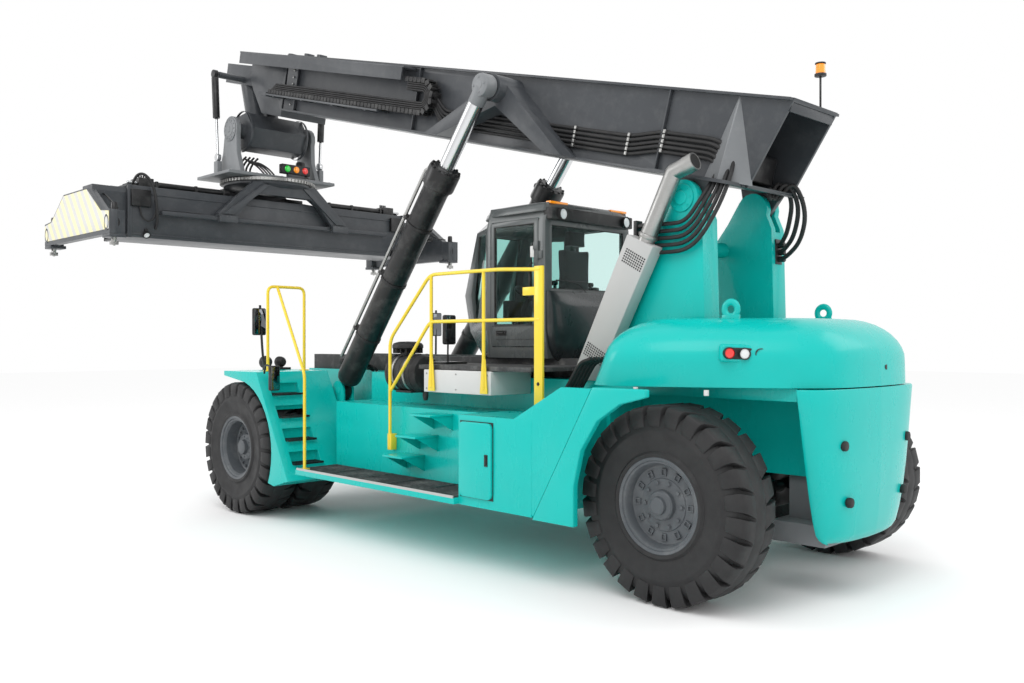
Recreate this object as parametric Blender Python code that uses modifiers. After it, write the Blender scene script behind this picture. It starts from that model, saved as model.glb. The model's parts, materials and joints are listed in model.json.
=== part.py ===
"""Reach stacker: a container handler with a telescopic boom and a 20/40 ft spreader.

Metres, +Z up.  The machine faces -Y and its left side is +X.  The origin is on the ground, at
the centre of the machine's bounding box.  Lengths along Y are written from the front axle, and
the datum empty moves them all to their place.  Pieces on the boom are written in the boom's own
frame: X across, -Y forward along the boom and Z up from it, with its origin on the boom pivot.
"""

from math import atan2, cos, hypot, pi, radians, sin

import bmesh
import bpy
from mathutils import Matrix, Vector

# ---------------------------------------------------------------- driving dimensions
GAP = 0.0003                    # between faces that touch
SLIDE = 0.012                   # between a sliding tube and its walls
FRONT_AXLE_Y = -1.743

WHEELBASE = 6.30
TYRE_RADIUS = 0.831
TYRE_WIDTH = 0.50
TYRE_BORE = 0.385
RIM_WALL = 0.04
FRONT_OUTER_X = 1.805           # middle of each front tyre
FRONT_INNER_X = 1.225
REAR_X = 1.40
KINGPIN_X = 1.10
WHEEL_STEPS = 28
HUB_STEPS = 20

SPINE_HALF = 0.56               # frame beside the lift cylinders
BODY_HALF = 0.90                # frame behind them
FRAME_TOP = 1.80
FRAME_BOTTOM = 0.62
NECK_HALF = 0.42                # frame between the steered wheels
NECK_BOTTOM = 1.02
SIDE_TOP = 1.455
SIDE_X = 1.43
BOX_X = 1.93
BOX_FRONT_Y = 4.17
BOX_REAR_Y = 5.16
WALK_X = 2.0
WALK_TOP = 0.68

PIVOT_Y = 5.90                  # boom pivot
PIVOT_Z = 3.50
PIVOT_RADIUS = 0.075
BOOM_TILT = radians(14.7)
BOOM_HALF = 0.40
BOOM_LOW = 0.19
BOOM_HIGH = 1.02
BOOM_WALL = 0.03
BOOM_FRONT = 7.80
BOOM_REAR_TOP = -0.72
BOOM_REAR_LOW = -0.45
INNER_TAIL = 0.35
HEAD_REAR = 7.86
HEAD_FRONT = 8.93

LIFT_X = 0.885                  # lift cylinders
LIFT_BASE_Y = 0.70
LIFT_BASE_Z = 1.54
LIFT_PIN_S = 2.79
LIFT_PIN_H = 0.80
LIFT_BARREL = 3.34
BARREL_RADIUS = 0.155
BARREL_BORE = 0.12
ROD_RADIUS = 0.09
ROD_TAIL = 1.00
EYE_HALF = 0.05

SPREADER_Y = -2.734             # slewing axis and middle of the spreader
DRUM_Y = -2.65                  # pitch axis
DRUM_Z = 5.50
STUB_RADIUS = 0.12
LINK_X = 0.63
LINK_WALL = 0.08
PLATFORM_LOW = 4.75
PLATFORM_HIGH = 4.80
RING_RADIUS = 0.70
RING_LOW = 4.65
BEAM_HALF = 2.45                # spreader main beam, half length
BEAM_WIDTH = 0.42               # and half width
BEAM_LOW = 3.66
BEAM_HIGH = 4.40
BEAM_WALL = 0.03
TWIST_X = 2.9265                # twistlocks from the middle of the spreader
TWIST_Y = 1.1295
TWIST_TIP = 3.447
TWIST_RADIUS = 0.05
END_X = 3.03
END_HALF_Y = 1.225
END_LOW = 3.60
END_TOP = 3.92
RAIL_Z = 4.03

DAMPER_X = 0.80
DAMPER_RADIUS = 0.055
DAMPER_ROD = 0.022

CAB_REAR_Y = 4.15
CAB_CORNER_Y = 3.25
CAB_FRONT_Y = 2.60
CAB_HALF = 0.70
CAB_NOSE_HALF = 0.45
CAB_LOW = 2.00
CAB_TOP = 3.66
CAB_WALL = 0.05
DOOR_FRONT_Y = 3.31
DOOR_REAR_Y = 4.05
DOOR_LOW = 2.12
DOOR_TOP = 3.50
DOOR_PLAY = 0.006

HOOD_TOP = 2.38
TOWER_IN = 0.48
TOWER_OUT = 0.72
LUG_IN = 0.57
LUG_OUT = 0.63
RAILING_X = 1.50
RAIL_RADIUS = 0.02
DECK_TOP = 1.90

LEFT = 1
RIGHT = -1
SIDE_NAMES = {LEFT: "left", RIGHT: "right"}

# ---------------------------------------------------------------- scene and frames
for old in list(bpy.data.objects):
    bpy.data.objects.remove(old, do_unlink=True)
PARTS = bpy.data.collections.new("reach_stacker")
TOOLS = bpy.data.collections.new("reach_stacker_tools")
for made in (PARTS, TOOLS):
    bpy.context.scene.collection.children.link(made)
PLACE = {}                      # each empty's place in the world


def empty(name, matrix, parent=None):
    """An axis or datum that pieces hang on."""
    axis = bpy.data.objects.new(name, None)
    axis.empty_display_size = 0.2
    PARTS.objects.link(axis)
    axis.parent = parent
    axis.matrix_local = PLACE[parent].inverted() @ matrix if parent else matrix
    PLACE[axis] = matrix
    return axis


MACHINE = Matrix.Translation((0, FRONT_AXLE_Y, 0))
BOOM = MACHINE @ Matrix.Translation((0, PIVOT_Y, PIVOT_Z)) @ Matrix.Rotation(-BOOM_TILT, 4, "X")
datum = empty("datum", MACHINE)


def axis_at(name, point, parent=datum, frame=MACHINE):
    """An empty on a joint's axis, at a point of the given frame."""
    return empty(name, frame @ Matrix.Translation(point), parent)


def from_boom(s, h):
    """Machine Y and Z of a point s forward along the boom and h above its pivot."""
    return (PIVOT_Y - s * cos(BOOM_TILT) + h * sin(BOOM_TILT),
            PIVOT_Z + s * sin(BOOM_TILT) + h * cos(BOOM_TILT))


def to_boom(y, z):
    """Boom s and h of a point of the machine."""
    back = y - PIVOT_Y
    up = z - PIVOT_Z
    return (-back * cos(BOOM_TILT) + up * sin(BOOM_TILT),
            back * sin(BOOM_TILT) + up * cos(BOOM_TILT))


# ---------------------------------------------------------------- materials
def material(name, colour, roughness, metallic=0.0):
    made = bpy.data.materials.new(name)
    made.use_nodes = True
    shader = made.node_tree.nodes["Principled BSDF"]
    shader.inputs["Base Color"].default_value = (*colour, 1)
    shader.inputs["Roughness"].default_value = roughness
    shader.inputs["Metallic"].default_value = metallic
    return made


TEAL = material("teal_paint", (0.008, 0.61, 0.54), 0.3)
GREY = material("boom_grey_paint", (0.07, 0.075, 0.085), 0.45)
CAB_GREY = material("cab_grey_paint", (0.11, 0.12, 0.12), 0.4)
BLACK = material("black_paint", (0.012, 0.012, 0.013), 0.35)
RUBBER = material("tyre_rubber", (0.025, 0.025, 0.026), 0.8)
RIM = material("rim_grey_paint", (0.2, 0.2, 0.21), 0.45)
CHROME = material("chromed_rod", (0.6, 0.6, 0.6), 0.15, 1.0)
STEEL = material("bare_steel", (0.4, 0.4, 0.39), 0.4, 1.0)
YELLOW = material("yellow_paint", (0.9, 0.65, 0.03), 0.4)
WHITE = material("white_paint", (0.75, 0.75, 0.74), 0.4)
CLOTH = material("seat_cloth", (0.03, 0.03, 0.03), 0.9)


# ---------------------------------------------------------------- shapes
def solid(name, mesh):
    made = bpy.data.objects.new(name, mesh)
    PARTS.objects.link(made)
    return made


def from_bmesh(name, shape):
    mesh = bpy.data.meshes.new(name)
    shape.to_mesh(mesh)
    shape.free()
    return solid(name, mesh)


def box(name, low, high, bevel=0.0):
    """A box between two corners, its edges cut by a bevel if one is given."""
    low = Vector(low)
    size = Vector(high) - low
    shape = bmesh.new()
    place = Matrix.Translation(low + size / 2) @ Matrix.Diagonal((*size, 1))
    bmesh.ops.create_cube(shape, size=1, matrix=place)
    made = from_bmesh(name, shape)
    if bevel:
        soften(made, bevel)
    return made


def soften(piece, width, segments=1, angle=radians(40)):
    edge = piece.modifiers.new("bevel", "BEVEL")
    edge.width = width
    edge.segments = segments
    edge.limit_method = "ANGLE"
    edge.angle_limit = angle


def bearing(radius, sides):
    """The corner radius of a hole that a shaft of this radius turns in, both of many flat sides."""
    return (radius + GAP) / cos(pi / sides)


def rod(name, start, end, radius, sides=16, end_radius=None):
    """A round bar between two points."""
    start = Vector(start)
    along = Vector(end) - start
    turn = along.to_track_quat("Z", "Y").to_matrix().to_4x4()
    shape = bmesh.new()
    bmesh.ops.create_cone(
        shape, cap_ends=True, segments=sides, depth=along.length, radius1=radius,
        radius2=radius if end_radius is None else end_radius,
        matrix=Matrix.Translation(start + along / 2) @ turn)
    return from_bmesh(name, shape)


def meshed(curve_object, weld=0.00001):
    """The closed mesh of a curve, in the curve's place."""
    bpy.context.view_layer.update()
    seen = curve_object.evaluated_get(bpy.context.evaluated_depsgraph_get())
    mesh = bpy.data.meshes.new_from_object(seen)
    shape = bmesh.new()
    shape.from_mesh(mesh)
    bmesh.ops.remove_doubles(shape, verts=shape.verts, dist=weld)
    shape.to_mesh(mesh)
    shape.free()
    made = solid(curve_object.name + "_mesh", mesh)
    made.matrix_world = curve_object.matrix_world.copy()
    name = curve_object.name
    bpy.data.objects.remove(curve_object, do_unlink=True)
    made.name = name
    return made


PLANES = {                      # outline (u, v) in each plane, extruded along the third axis
    "X": Matrix(((0, 0, 1, 0), (1, 0, 0, 0), (0, 1, 0, 0), (0, 0, 0, 1))),
    "Y": Matrix(((1, 0, 0, 0), (0, 0, -1, 0), (0, 1, 0, 0), (0, 0, 0, 1))),
    "Z": Matrix.Identity(4),
}


def plate(name, outline, axis, low, high):
    """A flat outline, given in the plane across the axis, thick from low to high along it."""
    curve = bpy.data.curves.new(name, "CURVE")
    curve.dimensions = "2D"
    curve.fill_mode = "BOTH"
    curve.extrude = (high - low) / 2
    line = curve.splines.new("POLY")
    line.points.add(len(outline) - 1)
    for point, (u, v) in zip(line.points, outline):
        point.co = (u, v, 0, 1)
    line.use_cyclic_u = True
    made = solid(name, curve)
    middle = {"X": ((low + high) / 2, 0, 0), "Y": (0, (low + high) / 2, 0),
              "Z": (0, 0, (low + high) / 2)}[axis]
    made.matrix_world = Matrix.Translation(middle) @ PLANES[axis]
    return meshed(made)


def tube(name, points, radius, resolution=2):
    """A round tube along straight runs between points."""
    curve = bpy.data.curves.new(name, "CURVE")
    curve.dimensions = "3D"
    curve.bevel_depth = radius
    curve.bevel_resolution = resolution
    curve.use_fill_caps = True
    line = curve.splines.new("POLY")
    line.points.add(len(points) - 1)
    for point, place in zip(line.points, points):
        point.co = (*place, 1)
    return meshed(solid(name, curve))


def turned(name, profile, place, steps, closed=False):
    """A profile of (radius, height), run down its outer side, turned about local Z."""
    mesh = bpy.data.meshes.new(name)
    count = len(profile)
    edges = [(i, i + 1) for i in range(count - 1)]
    if closed:
        edges.append((count - 1, 0))
    mesh.from_pydata([(r, 0, z) for r, z in profile], edges, [])
    made = solid(name, mesh)
    screw = made.modifiers.new("turn", "SCREW")
    screw.axis = "Z"
    screw.steps = steps
    screw.render_steps = steps
    screw.use_merge_vertices = True
    screw.merge_threshold = 0.00001
    made.matrix_world = place
    return made


def loft(name, sections, split=False):
    """A closed body through level outlines of equal point counts, from the lowest up.

    Twisted sides are split into triangles where windows are to be cut in them."""
    shape = bmesh.new()
    rings = [[shape.verts.new(point) for point in section] for section in sections]
    for low, high in zip(rings, rings[1:]):
        for i in range(len(low)):
            j = (i + 1) % len(low)
            shape.faces.new((low[i], low[j], high[j], high[i]))
    shape.faces.new(list(reversed(rings[0])))
    shape.faces.new(rings[-1])
    if split:
        bmesh.ops.triangulate(shape, faces=shape.faces[:])
    bmesh.ops.recalc_face_normals(shape, faces=shape.faces)
    return from_bmesh(name, shape)


def combine(piece, others, operation):
    for other in others:
        joined = piece.modifiers.new(operation.lower(), "BOOLEAN")
        joined.operation = operation
        joined.object = other
        PARTS.objects.unlink(other)
        TOOLS.objects.link(other)
        other.hide_render = True
        other.display_type = "WIRE"
    return piece


def join(piece, *others):
    return combine(piece, others, "UNION")


def cut(piece, *others):
    return combine(piece, others, "DIFFERENCE")


def finish(piece, paint, parent=datum, frame=MACHINE, smooth=False):
    """Gives a piece its paint and hangs it, with the shapes that cut or join it, on an empty."""
    hang(piece, parent, frame)
    if piece.data.materials:
        piece.data.materials.clear()
    piece.data.materials.append(paint)
    if smooth:
        piece.data.shade_smooth()
        piece.data.set_sharp_from_angle(angle=radians(35))
    return piece


def hang(piece, parent, frame):
    own = piece.matrix_basis.copy()
    piece.parent = parent
    piece.matrix_parent_inverse = PLACE[parent].inverted() @ frame
    piece.matrix_basis = own
    for modifier in piece.modifiers:
        if modifier.type == "BOOLEAN":
            hang(modifier.object, parent, frame)


def arc(centre, radius, start, end, count):
    """Points on a circle, from one angle in degrees to another."""
    angles = [radians(start + (end - start) * i / (count - 1)) for i in range(count)]
    return [(centre[0] + radius * cos(a), centre[1] + radius * sin(a)) for a in angles]


def spin_x(x, y, z, side):
    """Turns a shape's local Z outwards along the machine's X."""
    return Matrix.Translation((side * x, y, z)) @ Matrix.Rotation(side * pi / 2, 4, "Y")


def span(side, inner, outer):
    """Low and high X of a piece between two distances from the middle."""
    return tuple(sorted((side * inner, side * outer)))


# ---------------------------------------------------------------- wheels and axles
def tyre(name, x, y, side, parent):
    half = TYRE_WIDTH / 2
    profile = [(TYRE_BORE + 0.03, half - 0.03), (TYRE_RADIUS - 0.20, half),
               (TYRE_RADIUS - 0.03, half - 0.03), (TYRE_RADIUS, half - 0.08),
               (TYRE_RADIUS, 0.08 - half), (TYRE_RADIUS - 0.03, 0.03 - half),
               (TYRE_RADIUS - 0.20, -half), (TYRE_BORE + 0.03, 0.03 - half),
               (TYRE_BORE, 0.05 - half), (TYRE_BORE, half - 0.05)]
    made = turned(name, profile, spin_x(x, y, TYRE_RADIUS, side), WHEEL_STEPS, closed=True)
    return finish(made, RUBBER, parent, smooth=True)


def rim(name, x, y, side, parent, inner, outer, disc, hub):
    """A rim from inner to outer, its disc and hub at heights along the axle from x."""
    skin = TYRE_BORE - GAP
    bore = skin - RIM_WALL
    profile = [(0, hub), (0.17, hub), (0.20, hub - 0.03), (0.20, disc + 0.06),
               (0.30, disc + 0.04), (bore, disc + 0.04), (bore, outer), (skin, outer),
               (skin, inner), (bore, inner), (bore, disc), (0, disc)]
    made = turned(name, profile, spin_x(x, y, TYRE_RADIUS, side), WHEEL_STEPS)
    return finish(made, RIM, parent, smooth=True)


FRONT_MIDDLE_X = (FRONT_OUTER_X + FRONT_INNER_X) / 2
FRONT_DISC = 0.27
REAR_DISC = 0.10
for side, word in SIDE_NAMES.items():
    spin = axis_at(f"front_axle_{word}_axis", (side * FRONT_MIDDLE_X, 0, TYRE_RADIUS))
    tyre(f"front_outer_tyre_{word}", FRONT_OUTER_X, 0, side, spin)
    tyre(f"front_inner_tyre_{word}", FRONT_INNER_X, 0, side, spin)
    reach = FRONT_OUTER_X - FRONT_MIDDLE_X + TYRE_WIDTH / 2 - 0.035
    rim(f"front_rim_{word}", FRONT_MIDDLE_X, 0, side, spin, -reach, reach, FRONT_DISC, 0.45)

    steer = axis_at(f"kingpin_{word}_axis", (side * KINGPIN_X, WHEELBASE, TYRE_RADIUS))
    roll = axis_at(f"rear_hub_{word}_axis", (side * REAR_X, WHEELBASE, TYRE_RADIUS), steer)
    tyre(f"rear_tyre_{word}", REAR_X, WHEELBASE, side, roll)
    rim(f"rear_rim_{word}", REAR_X, WHEELBASE, side, roll, -0.215, 0.215, REAR_DISC, 0.19)

    spindle_end = REAR_X + REAR_DISC - GAP
    knuckle = join(
        rod(f"steering_knuckle_{word}", (side * KINGPIN_X, WHEELBASE, TYRE_RADIUS - 0.21),
            (side * KINGPIN_X, WHEELBASE, TYRE_RADIUS + 0.21), 0.095, 16),
        rod("spindle", (side * KINGPIN_X, WHEELBASE, TYRE_RADIUS),
            (side * spindle_end, WHEELBASE, TYRE_RADIUS), 0.085, 16))
    finish(knuckle, BLACK, steer)

axle_end = FRONT_MIDDLE_X + FRONT_DISC - GAP
housing = [(0, axle_end), (0.16, axle_end), (0.19, 0.92), (0.19, 0.42), (0.262, 0.24),
           (0.262, -0.24), (0.19, -0.42), (0.19, -0.92), (0.16, -axle_end), (0, -axle_end)]
FRONT_BLOCK_LOW = 1.10
front_axle = turned("front_axle", housing, spin_x(0, 0, TYRE_RADIUS, LEFT), HUB_STEPS)
join(front_axle, *[box("pad", (x - 0.09, -0.20, TYRE_RADIUS + 0.1), (x + 0.09, 0.20, FRONT_BLOCK_LOW - GAP))
                   for x in (-0.45, 0.45)])
finish(front_axle, BLACK)

FORK_END = 0.10
steer_axle = box("steer_axle", (-0.98, WHEELBASE - 0.15, 0.70), (0.98, WHEELBASE + 0.15, 0.96))
fork_low = TYRE_RADIUS - 0.21 - GAP
fork_high = TYRE_RADIUS + 0.21 + GAP
for side in (LEFT, RIGHT):
    for low, high in ((fork_low - 0.05, fork_low), (fork_high, fork_high + 0.05)):
        x0, x1 = span(side, 0.84, KINGPIN_X + FORK_END)
        join(steer_axle, box("fork", (x0, WHEELBASE - 0.11, low), (x1, WHEELBASE + 0.11, high)))
    x0, x1 = span(side, 0.84, 0.95)
    join(steer_axle, box("fork_root", (x0, WHEELBASE - 0.11, fork_low - 0.02),
                         (x1, WHEELBASE + 0.11, fork_high + 0.02)))
join(steer_axle, box("trunnion", (-0.20, WHEELBASE - 0.20, 0.66), (0.20, WHEELBASE + 0.20, NECK_BOTTOM - GAP)))
finish(steer_axle, BLACK)

# ---------------------------------------------------------------- frame
FRONT_BLOCK_Y = 1.45
MIDDLE_FRONT_Y = 1.35
NECK_FRONT_Y = 5.15
NECK_REAR_Y = 7.18
NOSE_Y = -0.62
main_frame = box("main_frame", (-SPINE_HALF, NOSE_Y, FRONT_BLOCK_LOW), (SPINE_HALF, FRONT_BLOCK_Y, FRAME_TOP))
join(main_frame,
     box("middle", (-BODY_HALF, MIDDLE_FRONT_Y, FRAME_BOTTOM), (BODY_HALF, 5.20, FRAME_TOP)),
     box("neck", (-NECK_HALF, NECK_FRONT_Y, NECK_BOTTOM), (NECK_HALF, NECK_REAR_Y - GAP, FRAME_TOP - 0.01)),
     box("rear_deck", (-BODY_HALF, NECK_FRONT_Y, 1.69), (BODY_HALF, NECK_REAR_Y - 0.03, FRAME_TOP)))
LUG_RADIUS = 0.13
LUG_WALL = 0.030
BASE_PIN = 0.05
lug_out = LIFT_X + EYE_HALF + 0.005 + LUG_WALL
for side in (LEFT, RIGHT):
    x0, x1 = span(side, SPINE_HALF - 0.05, lug_out)
    join(main_frame, box("lug_base", (x0, LIFT_BASE_Y - 0.26, 1.14), (x1, LIFT_BASE_Y + 0.26, 1.32)))
    lug = [(LIFT_BASE_Y - LUG_RADIUS, 1.25), (LIFT_BASE_Y + LUG_RADIUS, 1.25),
           *arc((LIFT_BASE_Y, LIFT_BASE_Z), LUG_RADIUS, 0, 180, 9)]
    for outer in (lug_out - 0.002, 2 * LIFT_X - lug_out + LUG_WALL):
        join(main_frame, plate("lug", lug, "X", *span(side, outer - LUG_WALL + 0.002, outer)))
    join(main_frame, rod("base_pin", (side * (2 * LIFT_X - lug_out + 0.01), LIFT_BASE_Y, LIFT_BASE_Z),
                         (side * (lug_out + 0.003), LIFT_BASE_Y, LIFT_BASE_Z), BASE_PIN, 20))
ENGINE_FRONT_Y = 3.30
ENGINE_REAR_Y = 4.90
BAY_TOP = 1.60
cut(main_frame, box("engine_bay", (-0.62, ENGINE_FRONT_Y - 0.15, 0.5), (0.62, ENGINE_REAR_Y + 0.15, BAY_TOP)))
finish(main_frame, TEAL)
finish(box("engine_block", (-0.45, ENGINE_FRONT_Y, 0.75), (0.45, ENGINE_REAR_Y, BAY_TOP - GAP), 0.03), BLACK)

# ---------------------------------------------------------------- side boxes, walkways and fenders
SEAM_TOP_Y = 5.85
FENDER_IN = 1.86


def seam(z):
    """Y of the slanted seam between a side box and its rear fender."""
    return BOX_REAR_Y + (z - FRAME_BOTTOM) * (SEAM_TOP_Y - BOX_REAR_Y) / (FRAME_TOP - FRAME_BOTTOM)


for side, word in SIDE_NAMES.items():
    x0, x1 = span(side, BODY_HALF + GAP, SIDE_X)
    side_box = box(f"side_box_{word}", (x0, 1.36, FRAME_BOTTOM), (x1, 4.25, SIDE_TOP))
    x0, x1 = span(side, BODY_HALF + GAP, BOX_X)
    join(side_box, box("rear_box", (x0, BOX_FRONT_Y, FRAME_BOTTOM), (x1, BOX_REAR_Y - 0.01, 1.48)))
    x0, x1 = span(side, SIDE_X - 0.05, WALK_X)
    join(side_box, box("walkway", (x0, 1.36, FRAME_BOTTOM + 0.005), (x1, BOX_FRONT_Y + 0.01, WALK_TOP)))
    panel_low = FRAME_BOTTOM + 0.01
    panel_top = FRAME_TOP - 0.012
    panel = [(4.9, 1.0), (seam(panel_low) - 0.0006, panel_low), (seam(panel_top) - 0.0006, panel_top),
             (5.50, panel_top), (4.9, 1.47)]
    join(side_box, plate("seam_panel", panel, "X", *span(side, FENDER_IN, BOX_X - 0.002)))
    finish(side_box, TEAL)

    fender = [(seam(FRAME_BOTTOM - 0.02), FRAME_BOTTOM - 0.02), (5.64, FRAME_BOTTOM - 0.02), (5.64, 0.95), (5.72, 1.26),
              (5.90, 1.52), (6.14, 1.67), (6.40, 1.735), (6.40, FRAME_TOP - GAP),
              (seam(FRAME_TOP - GAP), FRAME_TOP - GAP)]
    finish(plate(f"rear_fender_{word}", fender, "X", *span(side, FENDER_IN, BOX_X)), TEAL)

    arch = arc((0, TYRE_RADIUS), TYRE_RADIUS + 0.035, -25, 75, 13)
    front = [*arch, (-0.31, 1.74), (-0.31, FRAME_TOP), (0.51, FRAME_TOP), (1.24, 0.53), (0.92, 0.44)]
    front_fender = plate(f"front_fender_{word}", front, "X", *span(side, lug_out + 0.03, 2.03))
    for i in range(4):
        z = 0.70 + 0.27 * i
        slope_y = 1.24 - (z - 0.53) * (1.24 - 0.51) / (FRAME_TOP - 0.53)
        x0, x1 = span(side, 1.50, 1.90)
        cut(front_fender, box("step", (x0, slope_y - 0.13, z), (x1, slope_y + 0.4, z + 0.15)))
    x0, x1 = span(side, lug_out + GAP, lug_out + 0.04)
    join(front_fender, box("mount", (x0, LIFT_BASE_Y + 0.14, 1.16), (x1, LIFT_BASE_Y + 0.24, 1.30)))
    finish(front_fender, TEAL)

DOOR_X = BOX_X + GAP
side_hinge = axis_at("side_door_axis", (DOOR_X + 0.03, 4.205, 1.06))
corners = [*arc((4.255, 0.76), 0.05, 180, 270, 4), *arc((4.60, 0.76), 0.05, 270, 360, 4),
           *arc((4.60, 1.37), 0.05, 0, 90, 4), *arc((4.255, 1.37), 0.05, 90, 180, 4)]
finish(plate("side_door", corners, "X", DOOR_X, DOOR_X + 0.03), TEAL, side_hinge)

# ---------------------------------------------------------------- hood, counterweight and towers
def rounded_rear(half_front, half_rear, y_front, y_bend, y_rear, z, notch):
    """A level outline around the rear: straight sides that narrow, and a rounded tail."""
    right = [(notch, y_front), (half_front, y_front), (half_front * 0.90, y_front + 0.45 * (y_bend - y_front)),
             (half_rear, y_bend), (half_rear * 0.72, y_rear - 0.07), (half_rear * 0.36, y_rear - 0.01)]
    left = [(-x, y) for x, y in reversed(right)]
    return [(x, y, z) for x, y in right + left]


hood_levels = ((FRAME_TOP + GAP, 1.68, 1.04, 5.60, 7.10, 7.45), (1.98, 1.66, 1.03, 5.63, 7.09, 7.44),
               (2.16, 1.56, 0.98, 5.72, 7.02, 7.36), (2.30, 1.36, 0.86, 5.90, 6.86, 7.20),
               (HOOD_TOP, 1.08, 0.70, 6.08, 6.62, 6.98))
hood = loft("hood", [rounded_rear(hf, hr, yf, yb, yr, z, 0.2) for z, hf, hr, yf, yb, yr in hood_levels])
cut(hood, box("tower_notch", (-TOWER_OUT - 0.02, 5.3, 1.7), (TOWER_OUT + 0.02, 6.19, 2.6)))
for side in (LEFT, RIGHT):
    eye = [(6.40, 2.30), (6.58, 2.30), *arc((6.49, 2.46), 0.09, 0, 180, 7)]
    ring = plate("lifting_eye", eye, "X", *span(side, 0.815, 0.845))
    cut(ring, rod("eye_hole", (side * 0.7, 6.49, 2.46), (side * 0.95, 6.49, 2.46), 0.035, 12))
    join(hood, ring)
finish(hood, TEAL)

weight_levels = ((0.50, 0.62, 7.185, 7.33), (0.58, 0.72, 7.18, 7.40), (1.10, 0.84, 7.18, 7.445),
                 (FRAME_TOP - GAP, 1.00, 7.18, 7.445))
sections = []
for z, half, y0, y1 in weight_levels:
    side_points = [(half, y0), (half, y0 + 0.10), (half * 0.80, y1 - 0.04), (half * 0.4, y1)]
    sections.append([(x, y, z) for x, y in side_points + [(-x, y) for x, y in reversed(side_points)]])
finish(loft("counterweight", sections), TEAL)

tower_side = [(6.16, FRAME_TOP + GAP), (6.12, 3.30), *arc((PIVOT_Y, PIVOT_Z), 0.17, -20, 150, 10),
              (5.62, 3.38), (5.28, 2.95), (4.78, FRAME_TOP + GAP)]
towers = plate("boom_towers", tower_side, "X", TOWER_IN, TOWER_OUT)
join(towers, plate("right_tower", tower_side, "X", -TOWER_OUT, -TOWER_IN),
     rod("cross_tube", (-TOWER_IN - 0.05, 5.55, 3.12), (TOWER_IN + 0.05, 5.55, 3.12), 0.08, 16))
for side in (LEFT, RIGHT):
    x0, x1 = span(side, LUG_IN - SLIDE, LUG_OUT + SLIDE)
    cut(towers, box("lug_slot", (x0, PIVOT_Y - 0.30, PIVOT_Z - 0.23), (x1, PIVOT_Y + 0.30, PIVOT_Z + 0.25)))
    join(towers, rod("pivot_pin", (side * (TOWER_IN + 0.01), PIVOT_Y, PIVOT_Z),
                     (side * (TOWER_OUT + 0.02), PIVOT_Y, PIVOT_Z), PIVOT_RADIUS, 24))
finish(towers, TEAL)

# ---------------------------------------------------------------- exhaust, air cleaner, platform and rails
duct = plate("exhaust_duct", [(4.98, FRAME_TOP + GAP), (5.22, FRAME_TOP + GAP), (5.86, 3.05), (5.66, 3.12)],
             "X", 0.78, 0.89)
cut(duct, box("tower_side", (0.5, 5.0, 1.9), (TOWER_OUT + 0.03, 6.2, 3.2)))
join(duct, tube("pipe", [(0.83, 5.72, 2.98), (0.83, 6.06, 3.62), (0.83, 6.34, 3.80)], 0.065, 2))
finish(duct, STEEL)

cleaner = rod("air_cleaner", (1.17, 2.20, 1.82), (1.17, 2.80, 1.82), 0.22, 20)
join(cleaner, rod("intake_stem", (1.17, 2.42, 1.9), (1.17, 2.42, 2.12), 0.08, 12),
     rod("rain_cap", (1.17, 2.42, 2.10), (1.17, 2.42, 2.18), 0.18, 20),
     box("bracket", (BODY_HALF + GAP, 2.35, 1.62), (1.1, 2.65, 1.74)))
finish(cleaner, BLACK)

finish(box("battery_box", (BODY_HALF + GAP, 3.09, 1.64), (RAILING_X - RAIL_RADIUS - GAP, 4.14, 1.88)), WHITE)

deck_low = FRAME_TOP + 0.085
deck_high = FRAME_TOP + 0.13
cab_deck = box("cab_deck", (-0.95, 2.30, deck_low), (0.88, 4.70, deck_high))
join(cab_deck, box("entry_deck", (0.85, 2.98, deck_low + 0.001), (1.46, 4.68, deck_high - 0.001)))
join(cab_deck, *[box("rail", (x - 0.07, -0.55, FRAME_TOP + GAP), (x + 0.07, 4.70, CAB_LOW - GAP))
                 for x in (-0.45, 0.45)])
finish(cab_deck, BLACK)

TOP_RAIL = 2.89
MID_RAIL = 2.39
railing = tube("platform_railing", [(RAILING_X, 2.52, 1.0), (RAILING_X, 2.52, 2.20), (RAILING_X, 3.22, TOP_RAIL),
                                    (RAILING_X, 4.28, TOP_RAIL), (RAILING_X, 4.84, TOP_RAIL - 0.03)], RAIL_RADIUS, 1)
join(railing,
     tube("mid_rail", [(RAILING_X, 2.52, 1.62), (RAILING_X, 3.22, MID_RAIL), (RAILING_X, 4.84, MID_RAIL)],
          RAIL_RADIUS * 0.98, 1),
     tube("post_1", [(RAILING_X, 3.24, 1.70), (RAILING_X, 3.24, TOP_RAIL)], RAIL_RADIUS * 0.96, 1),
     tube("post_2", [(RAILING_X, 4.06, 1.70), (RAILING_X, 4.06, TOP_RAIL)], RAIL_RADIUS * 0.96, 1),
     box("flat_post", (RAILING_X - 0.03, 4.79, SIDE_TOP + 0.025 + GAP), (RAILING_X + 0.03, 4.89, TOP_RAIL - 0.02)),
     box("foot", (SIDE_X + GAP, 2.49, 0.98), (RAILING_X + 0.01, 2.55, 1.16)))
finish(railing, YELLOW)

RAIL_TOP = 2.87
front_rail = tube("front_handrail", [(1.25, 0.35, FRAME_TOP + GAP), (1.25, 0.35, RAIL_TOP), (1.80, 0.39, RAIL_TOP),
                                     (1.80, 0.39, FRAME_TOP + GAP)], RAIL_RADIUS, 1)
join(front_rail, tube("slanted_rail", [(1.66, 0.38, RAIL_TOP), (1.95, 1.48, 1.80), (1.95, 1.48, WALK_TOP + GAP)],
                      RAIL_RADIUS * 0.97, 1))
finish(front_rail, YELLOW)

# ---------------------------------------------------------------- cab
cab_slide = axis_at("cab_slide_axis", (0, CAB_REAR_Y, CAB_LOW))


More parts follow.
